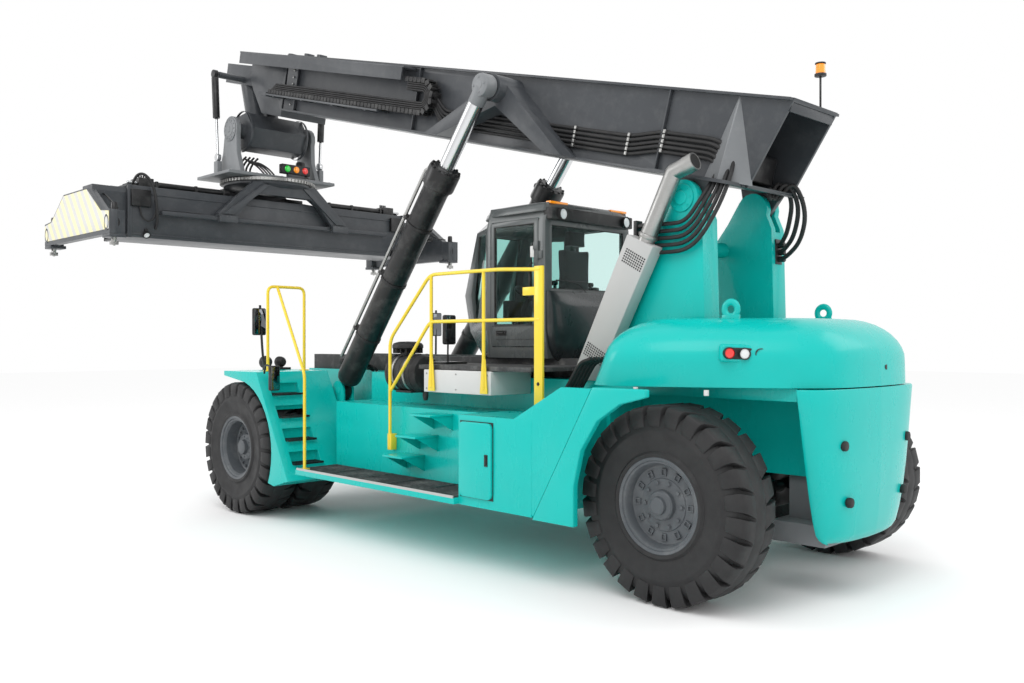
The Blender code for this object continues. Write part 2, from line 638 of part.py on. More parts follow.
def cab_outline(z, half, nose_half, front, shrink):
    """A level outline of the cab, shrunk on every side."""
    rear = CAB_REAR_Y - shrink
    half -= shrink
    nose = nose_half - shrink * 0.5
    points = [(half, rear), (half, CAB_CORNER_Y + shrink * 0.3), (nose, front + shrink)]
    return [(x, y, z) for x, y in points + [(-x, y) for x, y in reversed(points)]]


cab_levels = ((CAB_LOW, 0.66, 0.34, 2.80), (2.30, CAB_HALF, 0.42, 2.66), (2.72, CAB_HALF, CAB_NOSE_HALF, CAB_FRONT_Y),
              (3.45, CAB_HALF, 0.42, 2.78), (CAB_TOP, 0.64, 0.32, 3.02))
cab = loft("cab_shell", [cab_outline(z, half, nose, front, 0) for z, half, nose, front in cab_levels], split=True)
inner_z = (CAB_LOW + CAB_WALL, 2.30, 2.72, 3.45, CAB_TOP - CAB_WALL)
hollow = loft("cab_hollow", [cab_outline(z, level[1], level[2], level[3], CAB_WALL)
                             for z, level in zip(inner_z, cab_levels)], split=True)
doorway = box("doorway", (CAB_HALF - 0.2, DOOR_FRONT_Y, DOOR_LOW), (CAB_HALF + 0.2, DOOR_REAR_Y, DOOR_TOP))
right_window = box("right_window", (-CAB_HALF - 0.2, 3.36, 2.72), (0.2 - CAB_HALF, 4.05, 3.48))
rear_window = box("rear_window", (-0.60, CAB_REAR_Y - 0.2, 2.74), (0.60, CAB_REAR_Y + 0.2, 3.42))
front_window = box("front_window", (-0.28, 2.3, 2.36), (0.28, 3.0, 3.42))
cut(cab, hollow, doorway, right_window, rear_window, front_window)
for side in (LEFT, RIGHT):
    pane = [(side * 0.383, 2.862), (side * 0.599, 2.760), (side * 0.778, 3.136), (side * 0.562, 3.238)]
    cut(cab, plate("corner_window", pane, "Z", 2.39, 3.40))
finish(cab, CAB_GREY, cab_slide)

HINGE_RADIUS = 0.0115
HINGE_X = CAB_HALF + HINGE_RADIUS + 0.001
door_hinge = axis_at("cab_door_axis", (HINGE_X, DOOR_REAR_Y, 2.8), cab_slide)
door = box("cab_door", (CAB_HALF - 0.045, DOOR_FRONT_Y + DOOR_PLAY, DOOR_LOW + DOOR_PLAY),
           (CAB_HALF, DOOR_REAR_Y - DOOR_PLAY, DOOR_TOP - DOOR_PLAY))
cut(door, box("door_window", (0.5, DOOR_FRONT_Y + 0.06, 2.36), (0.9, DOOR_REAR_Y - 0.07, DOOR_TOP - 0.06)))
for z in (2.35, 3.15):
    spot = (HINGE_X, DOOR_REAR_Y)
    join(door, rod("door_barrel", (*spot, z), (*spot, z + 0.1), HINGE_RADIUS, 12),
         box("door_leaf", (CAB_HALF - 0.01, DOOR_REAR_Y - 0.07, z + 0.01), (HINGE_X, DOOR_REAR_Y - 0.001, z + 0.09)))
    join(cab, rod("shell_barrel", (*spot, z - 0.1), (*spot, z - GAP), HINGE_RADIUS, 12),
         box("shell_leaf", (CAB_HALF - 0.01, DOOR_REAR_Y + 0.004, z - 0.09), (HINGE_X, DOOR_REAR_Y + 0.06, z - 0.01)))
hang(cab, cab_slide, MACHINE)
finish(door, CAB_GREY, door_hinge)

seat = box("operator_seat", (-0.25, 3.45, 2.56), (0.25, 3.98, 2.68), 0.03)
join(seat, box("pedestal", (-0.17, 3.52, CAB_LOW + CAB_WALL + GAP), (0.17, 3.90, 2.60)),
     box("backrest", (-0.23, 3.88, 2.62), (0.23, 4.00, 3.22), 0.03),
     box("headrest", (-0.14, 3.90, 3.18), (0.14, 3.99, 3.41), 0.03))
finish(seat, CLOTH, cab_slide)

# ---------------------------------------------------------------- boom
boom_axis = empty("boom_axis", BOOM, datum)


def boom_box(name, x0, x1, s0, s1, h0, h1, bevel=0.0):
    """A box in the boom's frame, from s0 to s1 forward and h0 to h1 up."""
    return box(name, (x0, -s1, h0), (x1, -s0, h1), bevel)


def boom_plate(name, outline, x0, x1):
    """A side outline of (s, h) points, thick from x0 to x1."""
    return plate(name, [(-s, h) for s, h in outline], "X", x0, x1)


outer = boom_plate("outer_boom", [(BOOM_REAR_LOW, BOOM_LOW), (BOOM_FRONT, BOOM_LOW), (BOOM_FRONT, BOOM_HIGH),
                                  (BOOM_REAR_TOP, BOOM_HIGH)], -BOOM_HALF, BOOM_HALF)
FLANGE = 0.05
join(outer,
     boom_box("top_flange", -BOOM_HALF - FLANGE, BOOM_HALF + FLANGE, BOOM_REAR_TOP + 0.01, BOOM_FRONT - 0.01,
              BOOM_HIGH - 0.028, BOOM_HIGH - 0.003),
     boom_box("low_flange", -BOOM_HALF - FLANGE, BOOM_HALF + FLANGE, BOOM_REAR_LOW + 0.02, BOOM_FRONT - 0.01,
              BOOM_LOW + 0.003, BOOM_LOW + 0.028),
     boom_box("rear_flange", -LUG_OUT - 0.06, LUG_OUT + 0.06, BOOM_REAR_LOW + 0.03, 0.50, BOOM_LOW + 0.001,
              BOOM_LOW + 0.032))
cut(outer, boom_box("bore", BOOM_WALL - BOOM_HALF, BOOM_HALF - BOOM_WALL, -1.5, BOOM_FRONT + 0.5,
                    BOOM_LOW + BOOM_WALL + 0.005, BOOM_HIGH - BOOM_WALL - 0.005))
GLAND_RADIUS = BARREL_RADIUS + 0.035
BRACKET_OUT = LIFT_X - ROD_RADIUS - 0.008
LEG_OUT = LIFT_X - GLAND_RADIUS - 0.012
for side in (LEFT, RIGHT):
    lug = [(-0.24, BOOM_LOW + 0.01), *arc((0, 0), 0.14, 200, 340, 8), (0.24, BOOM_LOW + 0.01)]
    ear = boom_plate("pivot_lug", lug, *span(side, LUG_IN, LUG_OUT))
    cut(ear, rod("pivot_hole", (side * 0.4, 0, 0), (side * 0.8, 0, 0), bearing(PIVOT_RADIUS, 24), 24))
    join(outer, ear)
    pin = (LIFT_PIN_S, LIFT_PIN_H)
    cheek = [(1.66, BOOM_LOW + 0.015), (1.92, BOOM_LOW + 0.015), (LIFT_PIN_S, 0.62), (3.72, BOOM_LOW + 0.015),
             (3.96, BOOM_LOW + 0.015), *arc(pin, 0.15, 20, 160, 8)]
    join(outer, boom_plate("lift_bracket", cheek, *span(side, BOOM_HALF - 0.01, LEG_OUT)))
    join(outer, boom_plate("pin_boss", arc(pin, 0.149, 0, 345, 23), *span(side, BOOM_HALF - 0.012, BRACKET_OUT)))
GUARD_REAR = 4.66
GUARD_FRONT = 8.94
join(outer,
     boom_box("guard_top", BOOM_HALF - 0.01, 0.62, GUARD_REAR, BOOM_FRONT, 0.955, 0.98),
     boom_box("guard_front", BOOM_HALF + 0.02, 0.62, BOOM_FRONT - 0.1, GUARD_FRONT, 0.956, 0.979),
     boom_box("guard_side", 0.60, 0.619, GUARD_REAR + 0.03, GUARD_FRONT - 0.01, 0.80, 0.975),
     boom_box("front_pad", -0.2, 0.2, BOOM_FRONT - 0.30, BOOM_FRONT - 0.10, BOOM_LOW + 0.02, 0.26 - GAP))
finish(outer, GREY, boom_axis, BOOM)

extend = axis_at("boom_extend_axis", (0, -BOOM_FRONT, 0.6), boom_axis, BOOM)
INNER_HALF = 0.34
inner = boom_box("inner_boom", -INNER_HALF, INNER_HALF, INNER_TAIL, HEAD_REAR + 0.2, 0.26, 0.95)
cut(inner, boom_box("inner_bore", 0.03 - INNER_HALF, INNER_HALF - 0.03, INNER_TAIL - 0.5, HEAD_REAR - 0.1, 0.29, 0.92))
join(inner,
     boom_box("tail_pad", -0.2, 0.2, INNER_TAIL + 0.05, INNER_TAIL + 0.25, 0.94, BOOM_HIGH - BOOM_WALL - 0.005 - GAP),
     boom_plate("head_block", [(HEAD_REAR, 0.10), (8.44, 0.10), (8.80, 0.44), (HEAD_FRONT, 0.60),
                               (HEAD_FRONT, 0.93), (HEAD_REAR, 0.93)], -0.395, 0.395),
     boom_box("tray_arm", 0.38, 0.60, 8.02, 8.25, 0.36, 0.42),
     boom_box("chain_tray", 0.425, 0.598, 5.13, 8.24, 0.375, 0.40))
finish(inner, GREY, extend, BOOM)

nose_reach = 9.95
nose = boom_box("boom_nose", -0.29, 0.29, HEAD_FRONT + GAP, nose_reach, 0.50, 0.81)
drum_s, drum_h = to_boom(DRUM_Y, DRUM_Z)


def boom_point(x, y, z):
    """A machine point written in the boom's frame."""
    s, h = to_boom(y, z)
    return (x, -s, h)


def boom_ring(y, z, radius, start, end, count):
    s, h = to_boom(y, z)
    return arc((s, h), radius, start, end, count)


DRUM_RADIUS = 0.31
DRUM_HALF = 0.50
join(nose,
     rod("hanger_tube", boom_point(0.12, -3.08, 6.50), boom_point(0.12, -2.80, DRUM_Z + 0.06), 0.17, 16),
     rod("hanger_tube_right", boom_point(-0.14, -3.08, 6.50), boom_point(-0.14, -2.80, DRUM_Z + 0.09), 0.12, 16),
     boom_plate("drum", boom_ring(DRUM_Y, DRUM_Z, DRUM_RADIUS, 40, 340, 6), -DRUM_HALF, DRUM_HALF),
     rod("drum_stub", boom_point(-LINK_X - LINK_WALL - 0.01, DRUM_Y, DRUM_Z),
         boom_point(LINK_X + LINK_WALL + 0.01, DRUM_Y, DRUM_Z), STUB_RADIUS, 32))
LEFT_TOP = (-2.98, 6.42)
LEFT_LOW = (-2.88, 5.08)
RIGHT_TOP = (-2.40, 5.98)
RIGHT_LOW = (-2.46, 5.08)
join(nose, rod("left_damper_arm", boom_point(0.25, *LEFT_TOP), boom_point(DAMPER_X - DAMPER_RADIUS - 0.01, *LEFT_TOP), 0.05, 12))
finish(nose, GREY, extend, BOOM)
head_s, head_h = to_boom(*RIGHT_TOP)
join(inner, boom_box("right_damper_arm", 0.06 - DAMPER_X, -0.36, head_s - 0.06, head_s + 0.05, head_h - 0.05, head_h + 0.06),
     boom_box("right_arm_root", -0.385, -0.30, 8.35, head_s + 0.04, head_h - 0.04, head_h + 0.30))
hang(inner, extend, BOOM)

CHAIN_S = 4.28
CHAIN_RADIUS = 0.23
CHAIN_LOW = 0.40 + GAP
LOOP_H = CHAIN_LOW + CHAIN_RADIUS
chain_slide = axis_at("energy_chain_axis", (0.52, -CHAIN_S, LOOP_H), boom_axis, BOOM)
LINK_THICK = 0.07
loop_out = arc((CHAIN_S, LOOP_H), CHAIN_RADIUS, 270, 90, 13)
loop_in = arc((CHAIN_S, LOOP_H), CHAIN_RADIUS - LINK_THICK, 90, 270, 11)
chain = [(8.0, CHAIN_LOW), *loop_out, (4.62, LOOP_H + CHAIN_RADIUS), (4.62, LOOP_H + CHAIN_RADIUS - LINK_THICK),
         *loop_in, (8.0, CHAIN_LOW + LINK_THICK)]
finish(boom_plate("energy_chain", chain, 0.44, 0.585), BLACK, chain_slide, BOOM)

# ---------------------------------------------------------------- lift cylinders
pin_y, pin_z = from_boom(LIFT_PIN_S, LIFT_PIN_H)
lift_length = hypot(pin_y - LIFT_BASE_Y, pin_z - LIFT_BASE_Z)
lift_lean = atan2(pin_y - LIFT_BASE_Y, pin_z - LIFT_BASE_Z)
for side, word in SIDE_NAMES.items():
    base = (side * LIFT_X, LIFT_BASE_Y, LIFT_BASE_Z)
    tilt_axis = axis_at(f"lift_barrel_{word}_axis", base)
    stand = Matrix.Translation(base) @ Matrix.Rotation(-lift_lean, 4, "X")
    barrel = turned(f"lift_barrel_{word}", [
        (0, 0.26), (BARREL_BORE, 0.26), (BARREL_BORE, LIFT_BARREL - 0.20),
        (ROD_RADIUS + GAP, LIFT_BARREL - 0.14), (ROD_RADIUS + GAP, LIFT_BARREL),
        (GLAND_RADIUS, LIFT_BARREL), (GLAND_RADIUS, LIFT_BARREL - 0.22),
        (BARREL_RADIUS, LIFT_BARREL - 0.24), (BARREL_RADIUS, 0.22), (0.11, 0.15), (0, 0.15)], stand, HUB_STEPS)
    join(barrel, rod("base_eye", (side * LIFT_X - EYE_HALF, *base[1:]), (side * LIFT_X + EYE_HALF, *base[1:]), LUG_RADIUS, 20),
         rod("neck", stand @ Vector((0, 0, 0.08)), stand @ Vector((0, 0, 0.25)), EYE_HALF - 0.001, 12))
    cut(barrel, rod("base_hole", (side * LIFT_X - 0.2, *base[1:]), (side * LIFT_X + 0.2, *base[1:]), bearing(BASE_PIN, 20), 20))
    finish(barrel, BLACK, tilt_axis, smooth=True)

    rod_axis = axis_at(f"lift_rod_{word}_axis", (side * LIFT_X, pin_y, pin_z), tilt_axis)
    bar = turned(f"lift_rod_{word}", [(0, lift_length - 0.05), (ROD_RADIUS, lift_length - 0.05),
                                      (ROD_RADIUS, ROD_TAIL), (0, ROD_TAIL)], stand, HUB_STEPS)
    join(bar, rod("rod_eye", (side * LIFT_X - ROD_RADIUS + 0.002, pin_y, pin_z),
                  (side * LIFT_X + ROD_RADIUS, pin_y, pin_z), 0.13, 20))
    finish(bar, CHROME, rod_axis, smooth=True)

# ---------------------------------------------------------------- spreader head
head_axis = axis_at("spreader_pitch_axis", (0, DRUM_Y, DRUM_Z), extend)
rotator = plate("rotator_frame", [(-0.95, SPREADER_Y - 0.55), (0.95, SPREADER_Y - 0.55), (0.95, SPREADER_Y + 0.50),
                                  (-0.95, SPREADER_Y + 0.50)], "Z", PLATFORM_LOW + GAP, PLATFORM_HIGH)
link = [(DRUM_Y - 0.42, PLATFORM_HIGH - 0.02), (DRUM_Y + 0.34, PLATFORM_HIGH - 0.02), (DRUM_Y + 0.20, 5.12),
        *arc((DRUM_Y, DRUM_Z), 0.21, -25, 205, 12), (DRUM_Y - 0.24, 5.16)]
for side in (LEFT, RIGHT):
    arm = plate("link_arm", link, "X", *span(side, LINK_X, LINK_X + LINK_WALL))
    cut(arm, rod("stub_hole", (side * 0.4, DRUM_Y, DRUM_Z), (side * 0.9, DRUM_Y, DRUM_Z), bearing(STUB_RADIUS, 32), 32))
    join(rotator, arm)
for side, low in ((LEFT, LEFT_LOW), (RIGHT, RIGHT_LOW)):
    x0, x1 = span(side, DAMPER_X - 0.04, DAMPER_X + 0.04)
    join(rotator, box("damper_foot", (x0, low[0] - 0.06, PLATFORM_HIGH - 0.02), (x1, low[0] + 0.06, low[1] - 0.06 - GAP)))
finish(rotator, GREY, head_axis)

for side, word, low, top in ((LEFT, "left", LEFT_LOW, LEFT_TOP), (RIGHT, "right", RIGHT_LOW, RIGHT_TOP)):
    foot = (side * DAMPER_X, *low)
    damper_tilt = axis_at(f"damper_rod_{word}_axis", foot, head_axis)
    length = hypot(top[0] - low[0], top[1] - low[1])
    lean = atan2(top[0] - low[0], top[1] - low[1])
    stand = Matrix.Translation(foot) @ Matrix.Rotation(-lean, 4, "X")
    half = length / 2
    piston = turned(f"damper_rod_{word}", [(0, half + 0.12), (DAMPER_ROD, half + 0.12), (DAMPER_ROD, 0.03),
                                           (0, 0.03)], stand, 12)
    join(piston, rod("foot_eye", (side * DAMPER_X - 0.03, *low), (side * DAMPER_X + 0.03, *low), 0.06, 12))
    finish(piston, CHROME, damper_tilt)
    sleeve_axis = axis_at(f"damper_barrel_{word}_axis", (side * DAMPER_X, *top), damper_tilt)
    sleeve = turned(f"damper_barrel_{word}", [
        (0, length - 0.10), (DAMPER_RADIUS - 0.015, length - 0.10), (DAMPER_RADIUS - 0.015, half + 0.02),
        (DAMPER_ROD + GAP, half), (DAMPER_ROD + GAP, half - 0.04), (DAMPER_RADIUS, half - 0.04),
        (DAMPER_RADIUS, length - 0.06), (0, length - 0.06)], stand, 12)
    join(sleeve, rod("top_eye", (side * DAMPER_X - 0.035, *top), (side * DAMPER_X + 0.035, *top), 0.065, 12))
    finish(sleeve, BLACK, sleeve_axis)

# ---------------------------------------------------------------- slewing carriage and spreader
slew_axis = axis_at("rotator_axis", (0, SPREADER_Y, PLATFORM_LOW), head_axis)
CARRIAGE_HALF = 0.56
carriage = turned("slewing_carriage", [(0, PLATFORM_LOW - GAP), (RING_RADIUS, PLATFORM_LOW - GAP), (RING_RADIUS, RING_LOW),
                                       (0.58, 4.60), (0, 4.60)], Matrix.Translation((0, SPREADER_Y, 0)), 28)
FOOT_X = 1.0
rail_top = RAIL_Z + 0.03 + GAP
leg = [(-0.55, 4.655), (-FOOT_X - 0.14, rail_top + 0.05), (-FOOT_X - 0.14, rail_top), (-FOOT_X + 0.14, rail_top),
       (-0.62, 4.36), (-0.45, 4.47), (0.45, 4.47), (0.62, 4.36), (FOOT_X - 0.14, rail_top), (FOOT_X + 0.14, rail_top),
       (FOOT_X + 0.14, rail_top + 0.05), (0.55, 4.655)]
for end in (-1, 1):
    y0, y1 = sorted((SPREADER_Y + end * (BEAM_WIDTH + 0.015), SPREADER_Y + end * CARRIAGE_HALF))
    join(carriage, plate("a_frame", leg, "Y", y0, y1))
finish(carriage, GREY, slew_axis)

shift_axis = axis_at("side_shift_axis", (0, SPREADER_Y, BEAM_HIGH), slew_axis)
beam = box("spreader_beam", (-BEAM_HALF, SPREADER_Y - BEAM_WIDTH, BEAM_LOW), (BEAM_HALF, SPREADER_Y + BEAM_WIDTH, BEAM_HIGH))
CHANNEL = (BEAM_WALL / 2, BEAM_WIDTH - BEAM_WALL)
channel_low = BEAM_LOW + BEAM_WALL
channel_high = BEAM_HIGH - BEAM_WALL
for end in (-1, 1):
    y0, y1 = sorted((SPREADER_Y + end * CHANNEL[0], SPREADER_Y + end * CHANNEL[1]))
    cut(beam, box("channel", (-3, y0, channel_low), (3, y1, channel_high)))
    y0, y1 = sorted((SPREADER_Y + end * (BEAM_WIDTH - 0.01), SPREADER_Y + end * (CARRIAGE_HALF - 0.03)))
    join(beam, box("side_rail", (-2.0, y0, RAIL_Z - 0.03), (2.0, y1, RAIL_Z + 0.03)))
finish(beam, GREY, shift_axis)

ARM_TAIL = 1.95
for side, word in SIDE_NAMES.items():
    # the left arm runs in the rear channel, the right arm in the front one
    telescope = axis_at(f"spreader_arm_{word}_axis", (side * END_X, SPREADER_Y, BEAM_LOW), shift_axis)
    y0, y1 = sorted((SPREADER_Y + side * (CHANNEL[0] + SLIDE), SPREADER_Y + side * (CHANNEL[1] - SLIDE)))
    x0, x1 = span(side, -ARM_TAIL, END_X - 0.10)
    spreader_arm = box(f"spreader_arm_{word}", (x0, y0, channel_low + SLIDE), (x1, y1, channel_high - SLIDE))
    x0, x1 = span(side, -ARM_TAIL + 0.02, -ARM_TAIL + 0.14)
    join(spreader_arm, box("tail_pad", (x0, y0 + 0.05, channel_low + SLIDE + 0.02), (x1, y1 - 0.05, channel_high - GAP)))
    outline = [(SPREADER_Y - END_HALF_Y, END_LOW), (SPREADER_Y + END_HALF_Y, END_LOW),
               (SPREADER_Y + END_HALF_Y, END_TOP), (SPREADER_Y + 0.95, END_TOP + 0.02), (SPREADER_Y + 0.45, 4.28),
               (SPREADER_Y - 0.45, 4.28), (SPREADER_Y - 0.95, END_TOP + 0.02), (SPREADER_Y - END_HALF_Y, END_TOP)]
    join(spreader_arm, plate("end_plate", outline, "X", *span(side, END_X - 0.12, END_X)))
    x0, x1 = span(side, TWIST_X - 0.11, END_X - 0.01)
    for corner in (-1, 1):
        middle = SPREADER_Y + corner * TWIST_Y
        join(spreader_arm, box("corner_block", (x0, middle - 0.09, END_LOW - 0.04), (x1, middle + 0.09, END_TOP - 0.01)))
    gusset_x = span(side, 2.52, END_X - 0.05)
    join(spreader_arm, box("end_root", (gusset_x[0], SPREADER_Y - 0.36, 3.74), (gusset_x[1], SPREADER_Y + 0.36, 4.12)))
    for corner, at in ((1, "rear"), (-1, "front")):
        middle = SPREADER_Y + corner * TWIST_Y
        spot = (side * TWIST_X, middle)
        cut(spreader_arm, rod("lock_hole", (*spot, END_LOW - 0.2), (*spot, END_LOW + 0.16), bearing(TWIST_RADIUS, 16), 16))
        lock_axis = axis_at(f"twistlock_{word}_{at}_axis", (*spot, TWIST_TIP), telescope)
        lock = rod(f"twistlock_{word}_{at}", (*spot, END_LOW + 0.15), (*spot, TWIST_TIP + 0.05), TWIST_RADIUS, 16, 0.032)
        join(lock, box("head", (spot[0] - 0.05, middle - 0.028, TWIST_TIP + 0.012), (spot[0] + 0.05, middle + 0.028, TWIST_TIP + 0.06)),
             rod("tip", (*spot, TWIST_TIP + 0.03), (*spot, TWIST_TIP), 0.026, 12, 0.014))
        finish(lock, STEEL, lock_axis)
    finish(spreader_arm, GREY, telescope)
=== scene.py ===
"""Looks of a wheeled container handler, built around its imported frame.

Metres, +Z up.  The machine faces -Y and its left side is +X.  Places along Y are written from
the front axle with the helper at(), and places on the boom in the boom's own frame with on_boom().
"""
import json
from math import cos, pi, radians, sin

import bpy
from mathutils import Matrix, Vector

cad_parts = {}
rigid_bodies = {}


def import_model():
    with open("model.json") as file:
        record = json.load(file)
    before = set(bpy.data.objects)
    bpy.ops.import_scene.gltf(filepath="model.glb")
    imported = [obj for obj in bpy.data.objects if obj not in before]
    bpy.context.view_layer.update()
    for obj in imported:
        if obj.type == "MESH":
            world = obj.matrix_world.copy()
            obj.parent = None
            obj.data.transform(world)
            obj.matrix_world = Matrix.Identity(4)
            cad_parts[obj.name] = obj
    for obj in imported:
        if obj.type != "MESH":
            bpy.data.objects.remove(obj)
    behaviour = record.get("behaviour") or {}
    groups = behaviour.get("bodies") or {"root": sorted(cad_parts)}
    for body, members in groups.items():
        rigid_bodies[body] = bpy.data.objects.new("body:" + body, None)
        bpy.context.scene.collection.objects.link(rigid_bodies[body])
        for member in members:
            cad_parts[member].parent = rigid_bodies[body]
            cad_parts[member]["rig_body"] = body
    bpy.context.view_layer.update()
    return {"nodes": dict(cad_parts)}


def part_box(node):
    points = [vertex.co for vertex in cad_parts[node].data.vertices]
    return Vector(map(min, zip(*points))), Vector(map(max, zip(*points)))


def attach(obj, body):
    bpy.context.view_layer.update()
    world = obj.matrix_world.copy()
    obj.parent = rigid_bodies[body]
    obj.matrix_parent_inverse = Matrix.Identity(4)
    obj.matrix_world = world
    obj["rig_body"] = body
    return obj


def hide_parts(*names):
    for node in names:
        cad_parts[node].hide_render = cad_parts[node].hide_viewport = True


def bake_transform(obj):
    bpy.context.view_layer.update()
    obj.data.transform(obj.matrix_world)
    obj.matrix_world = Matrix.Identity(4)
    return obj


bl_info = {
    "name": "Container Handler Looks",
    "version": (1, 0, 0),
    "blender": (4, 5, 0),
    "location": "3D View > Sidebar > Handler",
    "description": "Builds the paint, tyres, glass, hoses and fittings of a container handler",
    "category": "Object",
}

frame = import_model()
NODES = frame["nodes"]
SIDES = {1: "left", -1: "right"}


# ---------------------------------------------------------------- places read from the frame
def middle(node):
    low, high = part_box(node)
    return (low + high) / 2


FRONT_Y = middle("front_outer_tyre_left").y
PIVOT = Vector((0, FRONT_Y + 5.9, 3.5))
BOOM_TILT = radians(14.7)
BOOM_PLACE = Matrix.Translation(PIVOT) @ Matrix.Rotation(-BOOM_TILT, 4, "X")
SLEW_Y = middle("slewing_carriage").y


def at(x, y, z):
    """A point whose Y is measured from the front axle."""
    return Vector((x, FRONT_Y + y, z))


def on_beam(x, y, z):
    """A point whose Y is measured from the slewing axis."""
    return Vector((x, SLEW_Y + y, z))


def sorted_x(side, inner, outer):
    """Two distances from the middle plane as places on one side, the lower first."""
    return sorted((side * inner, side * outer))


def on_boom(x, s, h):
    """A point s forward along the boom from its pivot and h above it."""
    return BOOM_PLACE @ Vector((x, -s, h))


# ---------------------------------------------------------------- modelling with operators
def deselect():
    bpy.ops.object.select_all(action="DESELECT")


def object_mode():
    bpy.ops.object.mode_set(mode="OBJECT")


def edit_all():
    """Edit mode with the whole mesh selected."""
    bpy.ops.object.mode_set(mode="EDIT")
    bpy.ops.mesh.select_all(action="SELECT")


def take(piece):
    """Makes a piece the only one that is selected."""
    deselect()
    piece.select_set(True)
    bpy.context.view_layer.objects.active = piece
    return piece


def settle(piece):
    """Moves a piece's place into its mesh."""
    take(piece)
    bpy.ops.object.transform_apply(location=True, rotation=True, scale=True)
    return piece


def named(name):
    piece = bpy.context.object
    piece.name = name
    piece.data.name = name
    return piece


def rounded(piece, width, segments=2, angle=35):
    """Rounds the sharp edges of a piece."""
    take(piece)
    bevel = piece.modifiers.new("edges", "BEVEL")
    bevel.width = width
    bevel.segments = segments
    bevel.limit_method = "ANGLE"
    bevel.angle_limit = radians(angle)
    bevel.use_clamp_overlap = True
    bpy.ops.object.modifier_apply(modifier="edges")
    bpy.ops.object.shade_smooth_by_angle(angle=radians(angle))
    return piece


def block(name, low, high, edge=0.004, segments=2):
    """A box with rounded edges between two corners."""
    low = Vector(low)
    high = Vector(high)
    deselect()
    bpy.ops.mesh.primitive_cube_add(size=1, location=(low + high) / 2)
    piece = named(name)
    piece.scale = high - low
    settle(piece)
    return rounded(piece, edge, segments)


def turned_to(along):
    return Vector(along).to_track_quat("Z", "Y").to_euler()


def bar(name, start, end, radius, sides=20, edge=0.003, end_radius=None):
    """A round bar or cone between two points, its rims rounded."""
    start = Vector(start)
    along = Vector(end) - start
    deselect()
    bpy.ops.mesh.primitive_cone_add(
        vertices=sides, radius1=radius, radius2=radius if end_radius is None else end_radius,
        depth=along.length, location=start + along / 2, rotation=turned_to(along))
    piece = settle(named(name))
    return rounded(piece, edge, 2)


def ball(name, centre, radius, squash=(1, 1, 1), segments=20):
    deselect()
    bpy.ops.mesh.primitive_uv_sphere_add(segments=segments, ring_count=segments // 2, radius=radius,
        location=centre)
    piece = named(name)
    piece.scale = squash
    settle(piece)
    bpy.ops.object.shade_smooth()
    return piece


def emptied(name):
    """A new piece whose mesh has nothing in it yet."""
    deselect()
    bpy.ops.mesh.primitive_plane_add(size=1)
    piece = named(name)
    edit_all()
    bpy.ops.mesh.delete(type="VERT")
    object_mode()
    return piece


def spun(name, profile, centre, axis, steps=64, smooth=40):
    """A profile of (radius, height) turned about an axis, as a closed body or a ring."""
    piece = emptied(name)
    count = len(profile)
    ring = profile[0][0] > 0 and profile[-1][0] > 0
    edges = [(i, i + 1) for i in range(count - 1)]
    if ring:
        edges.append((count - 1, 0))
    piece.data.from_pydata([(r, 0, z) for r, z in profile], edges, [])
    edit_all()
    bpy.ops.mesh.spin(steps=steps, angle=2 * pi, center=(0, 0, 0), axis=(0, 0, 1))
    bpy.ops.mesh.select_all(action="SELECT")
    bpy.ops.mesh.remove_doubles(threshold=0.0001)
    bpy.ops.mesh.normals_make_consistent(inside=False)
    object_mode()
    piece.location = centre
    piece.rotation_euler = turned_to(axis)
    settle(piece)
    bpy.ops.object.shade_smooth_by_angle(angle=radians(smooth))
    return piece


def route(points, rounds=3):
    """Points on a smooth line through a given route, by repeated corner cutting."""
    line = [Vector(p) for p in points]
    for _ in range(rounds):
        cut = [line[0]]
        for a, b in zip(line, line[1:]):
            cut.append(a.lerp(b, 0.25))
            cut.append(a.lerp(b, 0.75))
        cut.append(line[-1])
        line = cut
    return line


def pipe(name, points, radius, smooth_rounds=0, resolution=3):
    """A round tube along points, with closed ends."""
    line = route(points, smooth_rounds) if smooth_rounds else [Vector(p) for p in points]
    deselect()
    bpy.ops.curve.primitive_nurbs_path_add()
    piece = named(name)
    curve = piece.data
    curve.splines.clear()
    spline = curve.splines.new("POLY")
    spline.points.add(len(line) - 1)
    for point, place in zip(spline.points, line):
        point.co = (*place, 1)
    curve.bevel_depth = radius
    curve.bevel_resolution = resolution
    curve.use_fill_caps = True
    piece.location = (0, 0, 0)
    bpy.ops.object.convert(target="MESH")
    piece = named(name)
    edit_all()
    bpy.ops.mesh.remove_doubles(threshold=0.00005)
    object_mode()
    bpy.ops.object.shade_smooth_by_angle(angle=radians(50))
    return piece


def panel(name, outline, axis, low, high, edge=0.003, place=None):
    """A flat outline given across an axis, thick from low to high along it."""
    piece = emptied(name)
    if axis == "X":
        corners = [(low, u, v) for u, v in outline]
        push = (high - low, 0, 0)
    elif axis == "Y":
        corners = [(u, low, v) for u, v in outline]
        push = (0, high - low, 0)
    else:
        corners = [(u, v, low) for u, v in outline]
        push = (0, 0, high - low)
    piece.data.from_pydata(corners, [], [tuple(range(len(corners)))])
    edit_all()
    bpy.ops.mesh.extrude_region_move(TRANSFORM_OT_translate={"value": push})
    bpy.ops.mesh.select_all(action="SELECT")
    bpy.ops.mesh.normals_make_consistent(inside=False)
    object_mode()
    if place is not None:
        piece.data.transform(place)
    return rounded(piece, edge, 2, 30)


def joined(name, pieces):
    """Several pieces as one object."""
    deselect()
    for piece in pieces:
        piece.select_set(True)
    bpy.context.view_layer.objects.active = pieces[0]
    if len(pieces) > 1:
        bpy.ops.object.join()
    return named(name)


